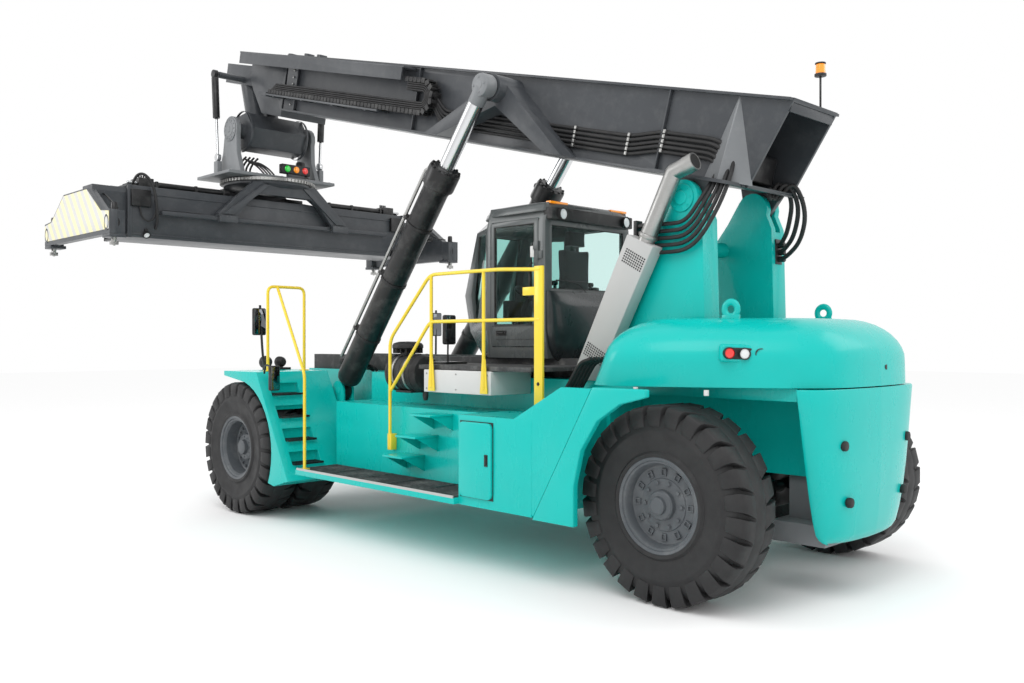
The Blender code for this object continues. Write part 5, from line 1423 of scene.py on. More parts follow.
def build_boom():
    dressed_node("outer_boom", "grey", 0.006)
    dressed_node("inner_boom", "grey", 0.006)
    dressed_node("boom_nose", "grey", 0.01, 3)
    pins = []
    for side in SIDES:
        spot = on_boom(side * 0.772, 2.79, 0.8)
        pins.append(spun("boss", [(0, 0.016), (0.05, 0.016), (0.056, 0.01), (0.1, 0.009), (0.106, 0.004),
                    (0.108, -0.02),
                    (0, -0.02)], spot, (side, 0, 0), 40))
        pins.append(repeated("boss_bolts",
                bolt("head", spot + Vector((side * 0.01, 0, 0.08)), (side, 0, 0), 0.01, 0.008),
                [turn_about(spot, 2 * pi * k / 6, "X") for k in range(6)]))
        lug_cap = spun("lug_cap", [(0, 0.01), (0.095, 0.01), (0.105, 0.004), (0.105, 0), (0, 0)],
            on_boom(side * 0.632, 0, 0), (side, 0, 0), 40)
        pins.append(lug_cap)
    dress(joined("boom_pin_bosses", pins), "pale_grey", "outer_boom_body")
    stiff = []
    for s in (0.6, 4.55, 7.45):
        for side in SIDES:
            x0, x1 = sorted_x(side, 0.398, 0.445)
            stiff.append(boom_block("rib", x0, x1, s - 0.008, s + 0.008, 0.215, 0.995, 0.003))
    for s, h in ((7.6, 1.022), (7.25, 1.022)):
        for side in SIDES:
            stiff.append(boom_block("rest_block", side * 0.2 - 0.06, side * 0.2 + 0.06, s - 0.05, s + 0.05,
                    h - 0.01, h + 0.055, 0.008))
    stiff.append(boom_block("front_collar", -0.44, 0.44, 7.7, 7.79, 1.018, 1.032, 0.004))
    dress(joined("boom_ribs", stiff), "grey", "outer_boom_body")
    for side, word in SIDES.items():
        rows = [on_boom(side * 0.4025, 7.62, 0.3 + 0.1 * k) for k in range(7)]
        dress(bolts(f"boom_collar_bolts_{word}", rows, (side, 0, 0), 0.012, 0.01), "steel",
            "outer_boom_body")
    for side, word in SIDES.items():
        foot = [(0.395, 0.04), (0.66, -0.29), (0.395, -0.5)]
        tip = [(0.395, -0.145), (0.4, -0.16), (0.395, -0.175)]
        gusset = lofted(f"boom_tail_gusset_{word}", [[on_boom(side * x, s, h) for x, s in ring][::side]
                for h, ring in ((0.215, foot), (0.99, tip))])
        dress(gusset, "pale_grey", "outer_boom_body")
    lip = boom_block("boom_tail_lip", -0.38, 0.38, -0.7, -0.66, 0.9, 0.985, 0.004)
    dress(lip, "grey", "outer_boom_body")
    # A black block inside the boom's open tail: painted shade of its hollow inside.
    tail_interior_shade = boom_block("boom_tail_interior_shade", -0.26, 0.26, -0.3, 0.1, 0.26, 0.52, 0.02, 3)
    dress(tail_interior_shade, "black", "outer_boom_body")
    beacon_base = on_boom(-0.4, -0.54, 1.02)
    rod_top = beacon_base + Vector((0, 0, 0.33))
    stand = joined("beacon_stand", [bar("rod", beacon_base, rod_top, 0.01, 16),
            bar("plate", rod_top, rod_top + Vector((0, 0, 0.025)), 0.055, 28),
            bar("cap", rod_top + Vector((0, 0, 0.115)), rod_top + Vector((0, 0, 0.128)), 0.05, 28)])
    dress(stand, "plastic", "outer_boom_body")
    dome = spun("beacon_dome", [(0, 0.1), (0.03, 0.098), (0.044, 0.085), (0.047, 0.0), (0, 0.0)],
        rod_top + Vector((0, 0, 0.024)), (0, 0, 1), 36)
    dress(dome, "amber", "outer_boom_body")
    guide = joined("tray_supports", [boom_block("support", 0.39, 0.6, s - 0.02, s + 0.02, 0.362, 0.374,
                0.003)
            for s in (5.4, 6.2, 7.0, 7.8)])
    dress(guide, "grey", "inner_boom_body")


def build_energy_chain():
    """Links along the loop, and the hoses that lie in its lower run."""
    loop_s = 4.28
    loop_h = 0.6303
    radius = 0.195
    pitch = 0.082
    places = []
    s = 7.96
    while s > loop_s + 0.02:
        places.append((s, loop_h - radius, 0.0))
        s -= pitch
    turns = int(pi * radius / pitch)
    for k in range(turns + 1):
        lean = pi * k / turns
        places.append((loop_s - radius * sin(lean), loop_h - radius * cos(lean), -lean))
    for k in range(1, 5):
        places.append((loop_s + pitch * k, loop_h + radius, pi))
    link = joined("link", [block("side", (0.4415, -0.036, -0.031), (0.4515, 0.036, 0.031), 0.004),
            block("side", (0.5735, -0.036, -0.031), (0.5835, 0.036, 0.031), 0.004),
            block("crossbar", (0.45, -0.022, 0.014), (0.575, 0.022, 0.026), 0.003),
            block("crossbar", (0.45, -0.022, -0.026), (0.575, 0.022, -0.014), 0.003),
            bar("stud", (0.4395, 0.024, 0), (0.4535, 0.024, 0), 0.016, 14, 0.002),
            bar("stud", (0.5715, 0.024, 0), (0.5855, 0.024, 0), 0.016, 14, 0.002)])
    matrices = [BOOM_PLACE @ Matrix.Translation((0, -s, h)) @ Matrix.Rotation(lean, 4, "X") for s, h,
        lean in places]
    dress(repeated("energy_chain_links", link, matrices), "plastic", "energy_chain_body", "energy_chain")
    lines = []
    for layer in range(5):
        bend = 0.178 - 0.026 * layer
        for x in (0.463, 0.486, 0.54, 0.563):
            path = [on_boom(x, 7.98, loop_h - 0.195), on_boom(x, 7.8, loop_h - bend)]
            path += [on_boom(x, loop_s - bend * sin(pi * i / 12), loop_h - bend * cos(pi * i / 12))
                for i in range(13)]
            path.append(on_boom(x, 4.6, loop_h + bend))
            lines.append(pipe("line", path, 0.0115, 0, 2))
    dress(joined("energy_chain_hoses", lines), "hose", "energy_chain_body")


def build_boom_hoses():
    """Hoses clamped along the boom's left side, that loop down to the left tower."""
    ends = []
    for k in range(5):
        h = 0.585 - 0.046 * k
        low_h = h - 0.075
        x = 0.428 + 0.01 * (k % 2)
        run = pipe(f"boom_side_hose_{k + 1}",
            bent([on_boom(0.5, 4.28, 0.8 - 0.03 * k), on_boom(x, 3.95, low_h),
                    on_boom(x, 0.98, low_h), on_boom(x, 0.62, h), on_boom(x, 0.5, h)],
                0.1), 0.019, 0, 3)
        dress(run, "hose", "outer_boom_body")
        inset = 0.046 * k
        bend = 0.45 - inset
        middle_point = on_boom(x, 0.05, 0.135)
        loop = [on_boom(x, 0.52, h), on_boom(x, 0.3, h)]
        for step in range(13):
            turn = BOOM_TILT + (pi - BOOM_TILT) * step / 12
            drop = 1.42 if turn > pi / 2 else 1.0
            share = max(0.0, min(1.0, (turn - 0.7) / 1.7))
            spread = (0.782 - x) * share * share * (3 - 2 * share)
            loop.append(middle_point + Vector((spread, bend * sin(turn), bend * cos(turn) * drop)))
        low_z = loop[-1].z
        loop += [at(0.782, 5.66, low_z + 0.004), at(0.782, 5.5, low_z + 0.01)]
        ends.append(low_z + 0.01)
        hose_over_joint(pipe(f"tower_loop_hose_{k + 1}", loop, 0.019, 1, 3))
    clamps = []
    for s, h in ((1.73, 0.435), (0.99, 0.435), (0.56, 0.51)):
        for k in range(5):
            top = h + 0.092 - 0.046 * k
            clamps.append(boom_block("clamp", 0.398, 0.462, s - 0.016, s + 0.016, top - 0.028, top + 0.01,
                    0.005))
    dress(joined("boom_hose_clamps", clamps), "steel", "outer_boom_body")
    fittings = []
    for z in ends:
        fittings.append(bar("fitting", at(0.782, 5.54, z), at(0.782, 5.42, z - 0.005), 0.024, 6))
    fittings.append(block("fitting_plate", at(0.722, 5.41, ends[0] - 0.05),
            at(0.815, 5.45, ends[-1] + 0.05), 0.005))
    dress(joined("tower_hose_fittings_left", fittings), "black", "chassis")
    for k in range(3):
        shift = 0.07 * k
        loop = [on_boom(-0.3 + 0.06 * k, -0.32, 0.24), on_boom(-0.3 + 0.06 * k, -0.36, 0.1),
            at(-0.36 + 0.03 * k, 6.42 - shift, 3.74),
            at(-0.44, 6.52 - shift, 3.44 + shift), at(-0.52, 6.42 - shift, 3.16 + 0.8 * shift),
            at(-0.57, 6.24 - 0.4 * shift, 3.02 + shift),
            at(-0.6, 6.145, 3.0 + shift)]
        hose_over_joint(pipe(f"tail_hose_{k + 1}", loop, 0.022, 3, 3))
    tail_ends = [bar("fitting", at(-0.6, 6.12, 3.0 + 0.07 * k), at(-0.6, 6.2, 3.0 + 0.07 * k), 0.03, 6)
        for k in range(3)]
    tail_ends.append(block("fitting_plate", at(-0.66, 6.1, 2.95), at(-0.54, 6.135, 3.2), 0.005))
    dress(joined("tower_hose_fittings_right", tail_ends), "black", "chassis")


# ---------------------------------------------------------------- lift cylinders
LIFT_X = 0.885


def build_lift_cylinders():
    for side, word in SIDES.items():
        base = at(side * LIFT_X, 0.7, 1.54)
        pin = on_boom(side * LIFT_X, 2.79, 0.8)
        along = (pin - base).normalized()
        length = (pin - base).length
        barrel_length = 3.34
        profile = [(0, 0.14), (0.1, 0.15), (0.14, 0.19), (0.153, 0.24), (0.155, 0.3),
            (0.155, barrel_length - 0.3),
            (0.16, barrel_length - 0.29), (0.16, barrel_length - 0.26), (0.188, barrel_length - 0.245),
            (0.192, barrel_length - 0.22), (0.192, barrel_length - 0.04), (0.186, barrel_length - 0.02),
            (0.15, barrel_length - 0.012), (0.14, barrel_length), (0.094, barrel_length),
            (0.092, barrel_length - 0.1), (0, barrel_length - 0.11)]
        tube = spun("tube", profile[::-1], base, along, 64, 30)
        eye = spun("eye", [(0.056, 0.05), (0.09, 0.05), (0.095, 0.044), (0.128, 0.042), (0.13, 0.034),
                (0.13, -0.034), (0.128, -0.042), (0.095, -0.044), (0.09, -0.05), (0.056, -0.05)], base,
            (1, 0, 0), 48)
        frame_turn = along.to_track_quat("Z", "Y").to_matrix()
        forward = (Vector((0, -1, 0)) - along * along.dot(Vector((0, -1, 0)))).normalized()
        sideways = Vector((side, 0, 0))
        head = base + along * (barrel_length - 0.012)
        cap_bolts = bolts("head_bolts", [head + frame_turn @ Vector((0.168 * cos(a), 0.168 * sin(a), 0))
                for a in [2 * pi * k / 12 for k in range(12)]], along, 0.013, 0.014)
        dress(joined(f"lift_barrel_{word}_tube", [tube, eye, cap_bolts]), "black",
            f"lift_barrel_{word}_body", f"lift_barrel_{word}")
        skin = base + forward * 0.195 + sideways * 0.095
        steel_line = pipe("steel_line", bent([skin + along * 0.42, skin + along * (barrel_length - 0.16),
                    base + along * (barrel_length - 0.12) + forward * 0.185 + sideways * 0.05], 0.03),
            0.021, 0, 3)
        thin = base + forward * 0.19 + sideways * 0.01
        second = pipe("second_line", bent([thin + along * 0.42, thin + along * (barrel_length - 0.6),
                    base + along * (barrel_length - 0.5) + forward * 0.14], 0.03), 0.011, 0, 3)
        dress(joined(f"lift_lines_{word}", [steel_line, second]), "steel", f"lift_barrel_{word}_body")
        fixings = []
        for share in (0.9, 1.75, 2.55):
            spot = base + along * share + forward * 0.18 + sideways * 0.065
            fixings.append(bar("clamp", spot - along * 0.022, spot + along * 0.022, 0.058, 6, 0.006))
            strap = spun("strap", [(0.156, 0.02), (0.164, 0.018), (0.164, -0.018), (0.156, -0.02)],
                base + along * share, along, 56)
            fixings.append(strap)
        valve = base + along * (barrel_length - 0.13) + forward * 0.19
        fixings.append(bar("valve", valve - sideways * 0.06, valve + sideways * 0.06, 0.045, 8, 0.008))
        fixings.append(bar("valve_low", base + along * 0.36 + forward * 0.16 - sideways * 0.02,
                base + along * 0.36 + forward * 0.16 + sideways * 0.1, 0.042, 8, 0.008))
        dress(joined(f"lift_line_clamps_{word}", fixings), "plastic", f"lift_barrel_{word}_body")
        rod_profile = [(0, length - 0.05), (0.0895, length - 0.05), (0.0898, 1.0), (0, 1.0)]
        bright = spun("bright", rod_profile, base, along, 56, 40)
        dress(bright, "chrome", f"lift_rod_{word}_body", f"lift_rod_{word}")
        bright.name = f"lift_rod_{word}_bar"
        rod_eye = spun("rod_eye", [(0, 0.09), (0.05, 0.09), (0.056, 0.084), (0.11, 0.082), (0.126, 0.07),
                (0.13, 0.05),
                (0.13, -0.06), (0.12, -0.084), (0, -0.088)], pin, (side, 0, 0), 48)
        neck = bar("neck", base + along * (length - 0.22), base + along * (length - 0.02), 0.094, 40, 0.004)
        dots = repeated("eye_bolts", bolt("head", pin + Vector((side * 0.083, 0, 0.083)), (side, 0, 0),
                0.01, 0.007),
            [turn_about(pin, 2 * pi * k / 4, "X") for k in range(4)])
        dress(joined(f"lift_rod_eye_{word}", [rod_eye, neck, dots]), "pale_grey", f"lift_rod_{word}_body")
        lines = []
        for k in range(2):
            x = side * (0.72 - 0.05 * k)
            lines.append(pipe("hose", [at(side * 0.6, 0.98 + 0.07 * k, 1.8), at(x, 0.98 + 0.07 * k, 1.86),
                        at(x + side * 0.05, 0.8, 1.92),
                        at(side * 0.8, 0.62, 1.78)], 0.02, 3, 3))
            lines.append(pipe("hose", [at(side * (1.03 + 0.05 * k), 1.2, 1.42),
                        at(side * (1.05 + 0.05 * k), 1.1, 1.3),
                        at(side * (1.06 + 0.05 * k), 1.06, 1.05), at(side * (1.05 + 0.05 * k), 1.2, 0.9),
                        at(side * (1.0 + 0.05 * k), 1.4, 0.88)], 0.018, 3, 3))
        dress(joined(f"lift_base_hoses_{word}", lines), "hose", "chassis")


# ---------------------------------------------------------------- spreader head and spreader
def build_head():
    dressed_node("rotator_frame", "pale_grey", 0.008, 2)
    caps = []
    drum = at(0, -2.65, 5.5)
    for side in SIDES:
        centre = drum + Vector((side * 0.715, 0, 0))
        caps.append(spun("cap", [(0, 0.03), (0.045, 0.03), (0.052, 0.022), (0.105, 0.02), (0.112, 0.012),
                    (0.175, 0.01),
                    (0.182, 0.004), (0.182, -0.004), (0, -0.004)], centre, (side, 0, 0), 56))
        caps.append(ring_of_bolts("cap_bolts", centre, side, 0.011, 0.145, 12, 0.011, 0.009))
    dress(joined("link_arm_caps", caps), "pale_grey", "spreader_head")
    fixed = [spun("band", [(0.315, 0.02), (0.322, 0.016), (0.322, -0.016), (0.315, -0.02)],
            drum + Vector((x, 0, 0)), (1, 0, 0), 64)
        for x in (-0.49, 0.49)]
    dress(joined("drum_bands", fixed), "grey", "inner_boom_body")
    for side, word in SIDES.items():
        dressed_node(f"damper_rod_{word}", "chrome", 0.003)
        dressed_node(f"damper_barrel_{word}", "black", 0.004)
    low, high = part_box("rotator_frame")
    edge_bolts = [Vector((x, y, 4.801)) for x in (-0.88, -0.45, 0, 0.45, 0.88)
        for y in (low.y + 0.06, high.y - 0.06)]
    dress(bolts("rotator_plate_bolts", edge_bolts, (0, 0, 1), 0.016, 0.012), "steel", "spreader_head")
    motors = []
    for x, y in ((0.42, -0.4), (-0.42, 0.3)):
        spot = on_beam(x, y, 4.8)
        motors.append(spun("motor", [(0, 0.3), (0.06, 0.3), (0.075, 0.28), (0.078, 0.16), (0.095, 0.155),
                    (0.1, 0.06),
                    (0.125, 0.055), (0.125, 0.0), (0, 0.0)], spot, (0, 0, 1), 40))
    motors.append(block("manifold", on_beam(-0.24, -0.46, 4.8), on_beam(0.16, -0.28, 4.93), 0.012, 3))
    dress(joined("slewing_motors", motors), "black", "spreader_head")
    box_low = at(-0.5, -2.36, 4.86)
    case = block("signal_case", box_low, box_low + Vector((0.52, 0.1, 0.15)), 0.012, 3)
    dress(case, "plastic", "spreader_head")
    dress(block("signal_bracket", at(-0.4, -2.34, 4.8), at(-0.1, -2.28, 4.87), 0.004), "grey",
        "spreader_head")
    for k, paint in enumerate(("red", "amber", "green")):
        spot = box_low + Vector((0.1 + 0.16 * k, 0.098, 0.075))
        dress(spun(f"signal_lens_{paint}",
                [(0, 0.022), (0.03, 0.02), (0.048, 0.012), (0.052, 0.004), (0.052, 0), (0, 0)],
                spot, (0, 1, 0), 32), paint, "spreader_head")
    lines = []
    for k in range(4):
        x = 0.3 - 0.07 * k
        lines.append(pipe("hose", [at(x, -2.9, 5.16), at(x + 0.02, -3.05, 5.08), at(x + 0.06, -3.08, 4.95),
                    at(x, -3.02, 4.86),
                    at(x - 0.02, -2.94, 4.9)], 0.016, 3, 3))
        lines.append(pipe("hose", [at(0.55 - 0.04 * k, -2.52, 5.05 - 0.02 * k),
                    at(0.5 - 0.05 * k, -2.42, 5.0),
                    at(0.38 - 0.06 * k, -2.38, 4.92), at(0.24 - 0.06 * k, -2.44, 4.84)], 0.013, 3, 3))
    dress(joined("head_hoses", lines), "hose", "spreader_head")


def build_spreader():
    dressed_node("slewing_carriage", "grey", 0.006)
    dressed_node("spreader_beam", "grey", 0.008)
    ring = spun("gear_ring", [(0.66, 0.0), (0.735, 0.0), (0.735, -0.045), (0.7, -0.055), (0.66, -0.055)],
        (0, SLEW_Y, 4.735), (0, 0, 1), 72)
    tooth = block("tooth", on_beam(0.728, -0.012, 4.684), on_beam(0.752, 0.012, 4.732), 0.003, 1)
    teeth = repeated("teeth", tooth, [turn_about((0, SLEW_Y, 4.7), 2 * pi * k / 72, "Z")
            for k in range(72)])
    dress(joined("slewing_gear_ring", [ring, teeth]), "steel", "slewing_body")
    feet = []
    for end in (-1, 1):
        y = SLEW_Y + end * 0.561
        for side in SIDES:
            for k in range(4):
                feet.append(Vector((side * 1.0 - 0.1 + 0.066 * k, y, 4.085)))
    rear_feet = [p for p in feet if p.y > SLEW_Y]
    front_feet = [p for p in feet if p.y < SLEW_Y]
    plates = []
    for end in (-1, 1):
        y0, y1 = sorted((SLEW_Y + end * 0.435, SLEW_Y + end * 0.6))
        for side in SIDES:
            plates.append(block("foot_plate", (side * 1.0 - 0.16, y0, 4.058),
                    (side * 1.0 + 0.16, y1, 4.078), 0.005))
            plates.append(block("keeper",
                    (side * 1.0 - 0.15, min(SLEW_Y + end * 0.54, SLEW_Y + end * 0.6), 3.975),
                    (side * 1.0 + 0.15, max(SLEW_Y + end * 0.54, SLEW_Y + end * 0.6), 4.062), 0.005))
    for side in SIDES:
        for end in (-1, 1):
            brace = [(side * 0.3, 4.62), (side * 0.42, 4.62), (side * 1.08, 4.1), (side * 0.92, 4.1)]
            y0, y1 = sorted((SLEW_Y + end * 0.555, SLEW_Y + end * 0.585))
            plates.append(panel("brace", brace, "Y", y0, y1, 0.004))
    dress(joined("carriage_braces", plates), "grey", "slewing_body")
    heads = [bolts("rear", [p + Vector((0, 0.026, -0.03)) for p in rear_feet], (0, 1, 0), 0.014, 0.012),
        bolts("front", [p + Vector((0, -0.026, -0.03)) for p in front_feet], (0, -1, 0), 0.014, 0.012)]
    dress(joined("carriage_bolts", heads), "steel", "slewing_body")
    trim = []
    for end in (-1, 1):
        y0, y1 = sorted((SLEW_Y + end * 0.418, SLEW_Y + end * 0.43))
        trim.append(block("cover_strip", (-2.44, y0, 4.28), (2.44, y1, 4.3), 0.003))
        trim.append(block("low_strip", (-2.44, y0, 3.7), (2.44, y1, 3.72), 0.003))
        trim.append(block("slot_cover", (1.35, y0, 4.08), (1.95, y1, 4.1), 0.002))
    for side in SIDES:
        x0, x1 = sorted_x(side, 2.4, 2.462)
        for y0, y1 in ((SLEW_Y - 0.435, SLEW_Y - 0.39), (SLEW_Y + 0.39, SLEW_Y + 0.435)):
            trim.append(block("end_frame", (x0, y0, 3.655), (x1, y1, 4.405), 0.006))
        trim.append(block("end_frame", on_beam(x0, -0.43, 4.375), on_beam(x1, 0.43, 4.41), 0.006))
        trim.append(block("end_frame", on_beam(x0, -0.43, 3.655), on_beam(x1, 0.43, 3.69), 0.006))
    dress(joined("beam_trim", trim), "grey", "spreader_beam_body")
    tubes = []
    for side in SIDES:
        for y, z, r in ((0.3, 4.455, 0.042), (-0.3, 4.455, 0.042)):
            tubes.append(bar("cylinder", on_beam(side * 0.85, y, z), on_beam(side * 2.1, y, z), r, 32))
            for x in (0.95, 1.4, 2.0):
                tubes.append(block("clamp", on_beam(side * x - 0.02, y - 0.055, 4.398),
                        on_beam(side * x + 0.02, y + 0.055, 4.5), 0.006))
    tubes.append(block("valve_block", on_beam(-0.55, -0.2, 4.4), on_beam(-0.2, 0.16, 4.5), 0.01, 3))
    dress(joined("telescope_cylinders", tubes), "black", "spreader_beam_body")
    rods = [bar("rod", on_beam(side * 2.1, y, 4.455), on_beam(side * 2.42, y, 4.455), 0.02, 24)
        for side in SIDES for y in (0.3, -0.3)]
    dress(joined("telescope_rods", rods), "chrome", "spreader_beam_body")
    lines = []
    for side in SIDES:
        for k in range(3):
            y = SLEW_Y + 0.2 - 0.045 * k
            lines.append(pipe("line", bent(
                        [Vector((side * 0.3, y, 4.44)), Vector((side * 0.8, y, 4.418)),
                            Vector((side * 2.05, y, 4.418)),
                            Vector((side * 2.3, y + 0.03, 4.47)), Vector((side * 2.42, y + 0.06, 4.42))],
                        0.06), 0.014, 0, 3))
    low_line = [(2.06, 0.43, 4.22), (2.06, 0.47, 4.08), (2.1, 0.48, 3.94), (2.18, 0.48, 3.88),
        (2.28, 0.47, 3.94),
        (2.3, 0.45, 4.12)]
    arc_line = [(2.34, 0.3, 4.44), (2.3, 0.38, 4.57), (2.22, 0.46, 4.57), (2.12, 0.51, 4.42),
        (2.08, 0.52, 4.15),
        (2.06, 0.5, 3.9), (2.06, 0.42, 3.8)]
    lines.append(pipe("line", [on_beam(x, y, z) for x, y, z in low_line], 0.012, 3, 3))
    lines.append(pipe("line", [on_beam(x, y, z) for x, y, z in arc_line], 0.02, 3, 3))
    dress(joined("beam_hoses", lines), "hose", "spreader_beam_body")
    cases = []
    for side in SIDES:
        cases.append(block("valve_case", on_beam(side * 2.16 - 0.11, 0.06, 4.4),
                on_beam(side * 2.16 + 0.11, 0.36, 4.53), 0.008))
        cases.append(block("terminal_case", on_beam(side * 2.28 - 0.14, 0.421, 4.1),
                on_beam(side * 2.28 + 0.14, 0.475, 4.34), 0.008))
        for k in range(4):
            cases.append(bar("plug", on_beam(side * (2.1 + 0.035 * k), 0.2, 4.53),
                    on_beam(side * (2.1 + 0.035 * k), 0.2, 4.585), 0.013, 12))
    dress(joined("beam_valve_cases", cases), "black", "spreader_beam_body")
    for side, word in SIDES.items():
        lamp_spot = on_beam(side * 2.2, 0.455, 3.7)
        shell = spun("shell", [(0, -0.06), (0.035, -0.06), (0.05, -0.03), (0.052, 0.02), (0.044, 0.022),
                (0.04, 0.01),
                (0, 0.008)], lamp_spot, (0, 0.8, -0.6), 28)
        dress(joined(f"beam_work_lamp_{word}",
                [shell, block("bracket", lamp_spot + Vector((-0.02, -0.04, 0)),
                        lamp_spot + Vector((0.02, 0.0, 0.09)), 0.004)]),
            "black", "spreader_beam_body")
        dress(spun(f"beam_work_lamp_glass_{word}",
                [(0, 0.018), (0.024, 0.016), (0.04, 0.01), (0.04, 0.006), (0, 0.006)],
                lamp_spot, (0, 0.8, -0.6), 28), "clear", "spreader_beam_body")


LOCK_Y = 1.1295           # twistlock centre from the slewing axis
FACE_X = 3.0225           # outer face of an arm, behind its hazard plate


def build_spreader_arms():
    for side, word in SIDES.items():
        body = f"spreader_arm_{word}_body"
        arm = dressed_node(f"spreader_arm_{word}", "grey", 0.006)
        for vertex in arm.data.vertices:
            if abs(vertex.co.x) > FACE_X:
                vertex.co.x = side * FACE_X
        plates = []
        # dark gathers flat black discs and ovals that stand for the corner fitting holes: painted shade
        # inside them.
        dark = []
        for corner in (-1, 1):
            y = SLEW_Y + corner * LOCK_Y
            ring = spun("ring", [(0.052, 0.0), (0.074, 0.0), (0.074, -0.012), (0.052, -0.012)],
                (side * 3.018, y, 3.75), (-side, 0, 0), 40)
            stretch = Matrix.Translation((0, y, 3.75)) @ Matrix.Diagonal(
                (1, 1, 1.45, 1)) @ Matrix.Translation((0, -y, -3.75))
            ring.data.transform(stretch)
            plates.append(ring)
            disc = spun("disc", [(0, 0.0), (0.056, 0.0), (0.056, -0.01), (0, -0.01)],
                (side * 3.018, y, 3.75), (-side, 0, 0), 40)
            disc.data.transform(stretch)
            dark.append(disc)
            face_y = y + corner * 0.0905
            oval = spun("oval", [(0, 0.001), (0.046, 0.001), (0.046, -0.01), (0, -0.01)],
                (side * 2.93, face_y, 3.75), (0, corner, 0), 36)
            oval.data.transform(stretch)
            dark.append(oval)
            rim_oval = spun("rim_oval", [(0.044, 0.004), (0.066, 0.004), (0.066, -0.01), (0.044, -0.01)],
                (side * 2.93, face_y, 3.75),
                (0, corner, 0), 36)
            rim_oval.data.transform(stretch)
            plates.append(rim_oval)
            y0, y1 = sorted((SLEW_Y + corner * 0.98, SLEW_Y + corner * 1.225))
            plates.append(block("shoe", (min(side * 2.8, side * 3.025), y0, 3.555),
                    (max(side * 2.8, side * 3.025), y1, 3.6), 0.008))
            guard = [(side * 2.8, 3.6), (side * 2.93, 3.6), (side * 2.93, 3.9)]
            plates.append(panel("web", guard, "Y", min(y, y + 0.012) - corner * 0.06,
                    min(y, y + 0.012) - corner * 0.06 + 0.012, 0.002))
        dress(joined(f"corner_fittings_{word}", plates), "grey", body)
        dress(joined(f"corner_holes_{word}", dark), "seal", body)
        outline = [(SLEW_Y - 1.205, 3.66), (SLEW_Y + 1.205, 3.66), (SLEW_Y + 1.205, 3.895),
            (SLEW_Y + 0.93, 3.925),
            (SLEW_Y + 0.44, 4.26), (SLEW_Y - 0.44, 4.26), (SLEW_Y - 0.93, 3.925), (SLEW_Y - 1.205, 3.895)]
        low_x, high_x = sorted_x(side, 3.0215, 3.0298)
        hazard = panel(f"hazard_plate_{word}", outline, "X", low_x, high_x, 0.001)
        dress(hazard, "hazard", body)
        box_x = sorted_x(side, 2.62, 2.9)
        parts = [bar("lock_cylinder", on_beam(side * 2.78, -0.8, 3.98), on_beam(side * 2.78, 0.8, 3.98),
                0.036, 28),
            block("sensor", on_beam(box_x[0], -0.16, 4.12), on_beam(box_x[1], 0.16, 4.2), 0.01, 3),
            pipe("lead", [on_beam(side * 2.76, 0.16, 4.16), on_beam(side * 2.78, 0.34, 4.26),
                    on_beam(side * 2.8, 0.6, 4.16),
                    on_beam(side * 2.8, 0.92, 3.98), on_beam(side * 2.86, 1.08, 3.96)], 0.011, 3, 3),
            pipe("lead", [on_beam(side * 2.76, -0.16, 4.16), on_beam(side * 2.78, -0.34, 4.26),
                    on_beam(side * 2.8, -0.6, 4.16),
                    on_beam(side * 2.8, -0.92, 3.98), on_beam(side * 2.86, -1.08, 3.96)], 0.011, 3, 3)]
        for corner in (-1, 1):
            parts.append(spun("actuator",
                    [(0, 0.12), (0.03, 0.12), (0.038, 0.105), (0.042, 0.02), (0.065, 0.015), (0.065, 0),
                        (0, 0)],
                    on_beam(side * 2.9265, corner * LOCK_Y, 3.905), (0, 0, 1), 32))
        dress(joined(f"lock_gear_{word}", parts), "black", body)
        for place in ("rear", "front"):
            dressed_node(f"twistlock_{word}_{place}", "steel", 0.004)


# ---------------------------------------------------------------- stage
def build_stage(settings):
    deselect()
    bpy.ops.mesh.primitive_plane_add(size=120, location=(0, 0, -0.001))
    floor = settle(named("studio_floor"))
    material = bpy.data.materials.new("studio_floor_paint")
    material.use_nodes = True
    shader = material.node_tree.nodes["Principled BSDF"]
    shader.inputs["Base Color"].default_value = (0.97, 0.97, 0.97, 1)
    shader.inputs["Roughness"].default_value = 0.9
    shader.inputs["Specular IOR Level"].default_value = 0.0
    floor.data.materials.append(material)
    world = bpy.data.worlds.new("studio")
    bpy.context.scene.world = world
    world.use_nodes = True
    background = world.node_tree.nodes["Background"]
    background.inputs["Color"].default_value = (1.0, 1.0, 1.0, 1)
    background.inputs["Strength"].default_value = settings.sky_strength
    for name, place, target, size, power in (
            ("key_light", (9.0, 7.0, 13.0), (0, 0, 2), 9.0, settings.key_power),
            ("side_light", (10.0, -9.0, 7.5), (0.5, -4.0, 5.0), 5.0, settings.key_power * 0.45),
            ("rear_light", (-6.0, 10.0, 9.0), (0, 1, 2), 7.0, settings.key_power * 0.35),
            ("front_light", (-4.0, -12.0, 8.0), (0, -2, 4), 8.0, settings.key_power * 0.3)):
        deselect()
        bpy.ops.object.light_add(type="AREA", location=place)
        lamp = bpy.context.object
        lamp.name = name
        lamp.data.energy = power
        lamp.data.size = size
        lamp.rotation_euler = (Vector(target) - Vector(place)).to_track_quat("-Z", "Y").to_euler()
    deselect()
    bpy.ops.object.camera_add(location=at(7.883, 10.97, 2.19),
        rotation=(radians(89.94), 0, radians(135.54)))
    camera = bpy.context.object
    camera.name = "main_camera"
    camera.data.lens = 33.04
    camera.data.sensor_width = 36.0
    camera.data.clip_end = 400
    bpy.context.scene.camera = camera
    bpy.context.scene.view_settings.view_transform = "Standard"


# ---------------------------------------------------------------- settings, operators and panel
class HandlerSettings(bpy.types.PropertyGroup):
    """Light that a user would change."""
    sky_strength: bpy.props.FloatProperty(
        name="Sky Strength", description="Light from all round", default=1.0, min=0, max=4)
    key_power: bpy.props.FloatProperty(
        name="Key Light", description="Power of the main lamp", default=650.0, min=0, unit="POWER")


class HandlerStep:
    """What every step shares: it runs its builders and reports that it finished."""
    bl_options = {"REGISTER", "UNDO"}
    builders = ()

    def execute(self, context):
        for build in self.builders:
            build()
        return {"FINISHED"}


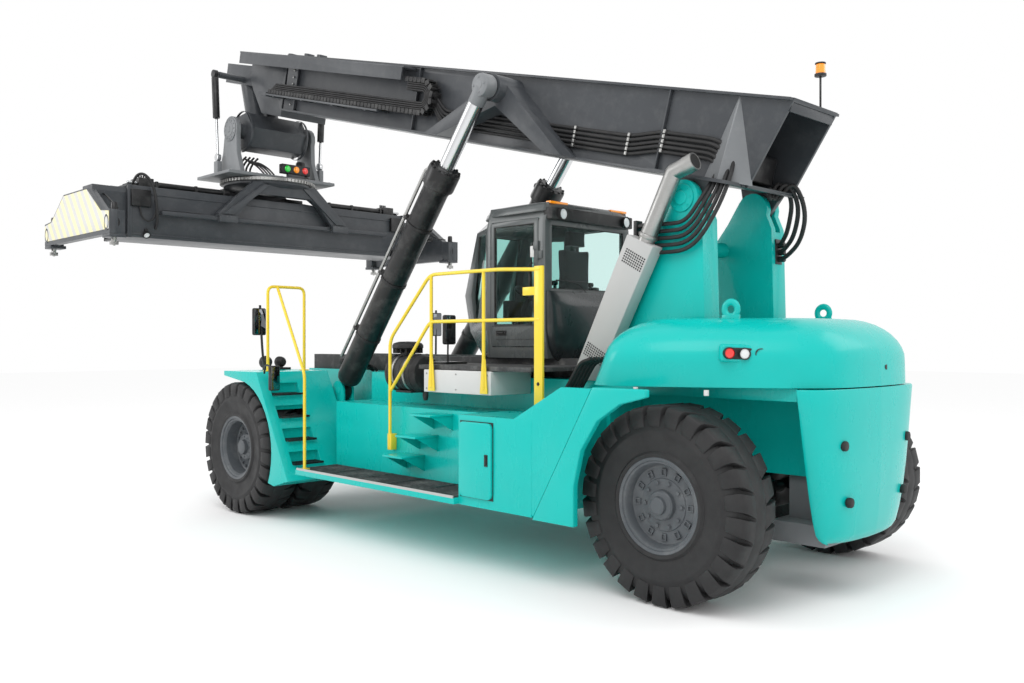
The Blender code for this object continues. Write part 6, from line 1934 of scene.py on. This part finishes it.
class HANDLER_OT_wheels(HandlerStep, bpy.types.Operator):
    """Tyres with lugs, rims with pockets and nuts, axles and steering rams"""
    bl_idname = "handler.wheels"
    bl_label = "Wheels"
    builders = (build_wheels,)


class HANDLER_OT_body(HandlerStep, bpy.types.Operator):
    """Painted panels, hood, counterweight, steps and side door"""
    bl_idname = "handler.body"
    bl_label = "Body"
    builders = (build_body_panels, build_hood, build_counterweight, build_side_door)


class HANDLER_OT_deck(HandlerStep, bpy.types.Operator):
    """Exhaust, air cleaner, railings, lamps and mirrors"""
    bl_idname = "handler.deck"
    bl_label = "Deck Fittings"
    builders = (build_exhaust, build_air_cleaner, build_railings, build_lamps_and_mirrors)


class HANDLER_OT_cab(HandlerStep, bpy.types.Operator):
    """Cab, glass, seat and controls"""
    bl_idname = "handler.cab"
    bl_label = "Cab"
    builders = (build_cab, build_seat)


class HANDLER_OT_boom(HandlerStep, bpy.types.Operator):
    """Boom, energy chain, hoses and lift cylinders"""
    bl_idname = "handler.boom"
    bl_label = "Boom"
    builders = (build_boom, build_energy_chain, build_boom_hoses, build_lift_cylinders)


class HANDLER_OT_spreader(HandlerStep, bpy.types.Operator):
    """Spreader head, carriage, beam, arms and twistlocks"""
    bl_idname = "handler.spreader"
    bl_label = "Spreader"
    builders = (build_head, build_spreader, build_spreader_arms)


class HANDLER_OT_stage(bpy.types.Operator):
    """Floor, studio lights and camera"""
    bl_idname = "handler.stage"
    bl_label = "Stage"
    bl_options = {"REGISTER", "UNDO"}

    def execute(self, context):
        build_stage(context.scene.handler)
        return {"FINISHED"}


STEPS = (HANDLER_OT_wheels, HANDLER_OT_body, HANDLER_OT_deck, HANDLER_OT_cab, HANDLER_OT_boom,
    HANDLER_OT_spreader,
    HANDLER_OT_stage)


class HANDLER_PT_panel(bpy.types.Panel):
    """Lists the steps in order."""
    bl_idname = "HANDLER_PT_panel"
    bl_label = "Container Handler"
    bl_space_type = "VIEW_3D"
    bl_region_type = "UI"
    bl_category = "Handler"

    def draw(self, context):
        column = self.layout.column()
        column.prop(context.scene.handler, "sky_strength")
        column.prop(context.scene.handler, "key_power")
        for step in STEPS:
            column.operator(step.bl_idname)


CLASSES = (HandlerSettings, *STEPS, HANDLER_PT_panel)


def register():
    for each in CLASSES:
        bpy.utils.register_class(each)
    bpy.types.Scene.handler = bpy.props.PointerProperty(type=HandlerSettings)


def unregister():
    del bpy.types.Scene.handler
    for each in reversed(CLASSES):
        bpy.utils.unregister_class(each)


def main():
    register()
    bpy.ops.handler.stage()
    bpy.ops.handler.wheels()
    bpy.ops.handler.body()
    bpy.ops.handler.deck()
    bpy.ops.handler.cab()
    bpy.ops.handler.boom()
    bpy.ops.handler.spreader()


if __name__ == "__main__":
    main()
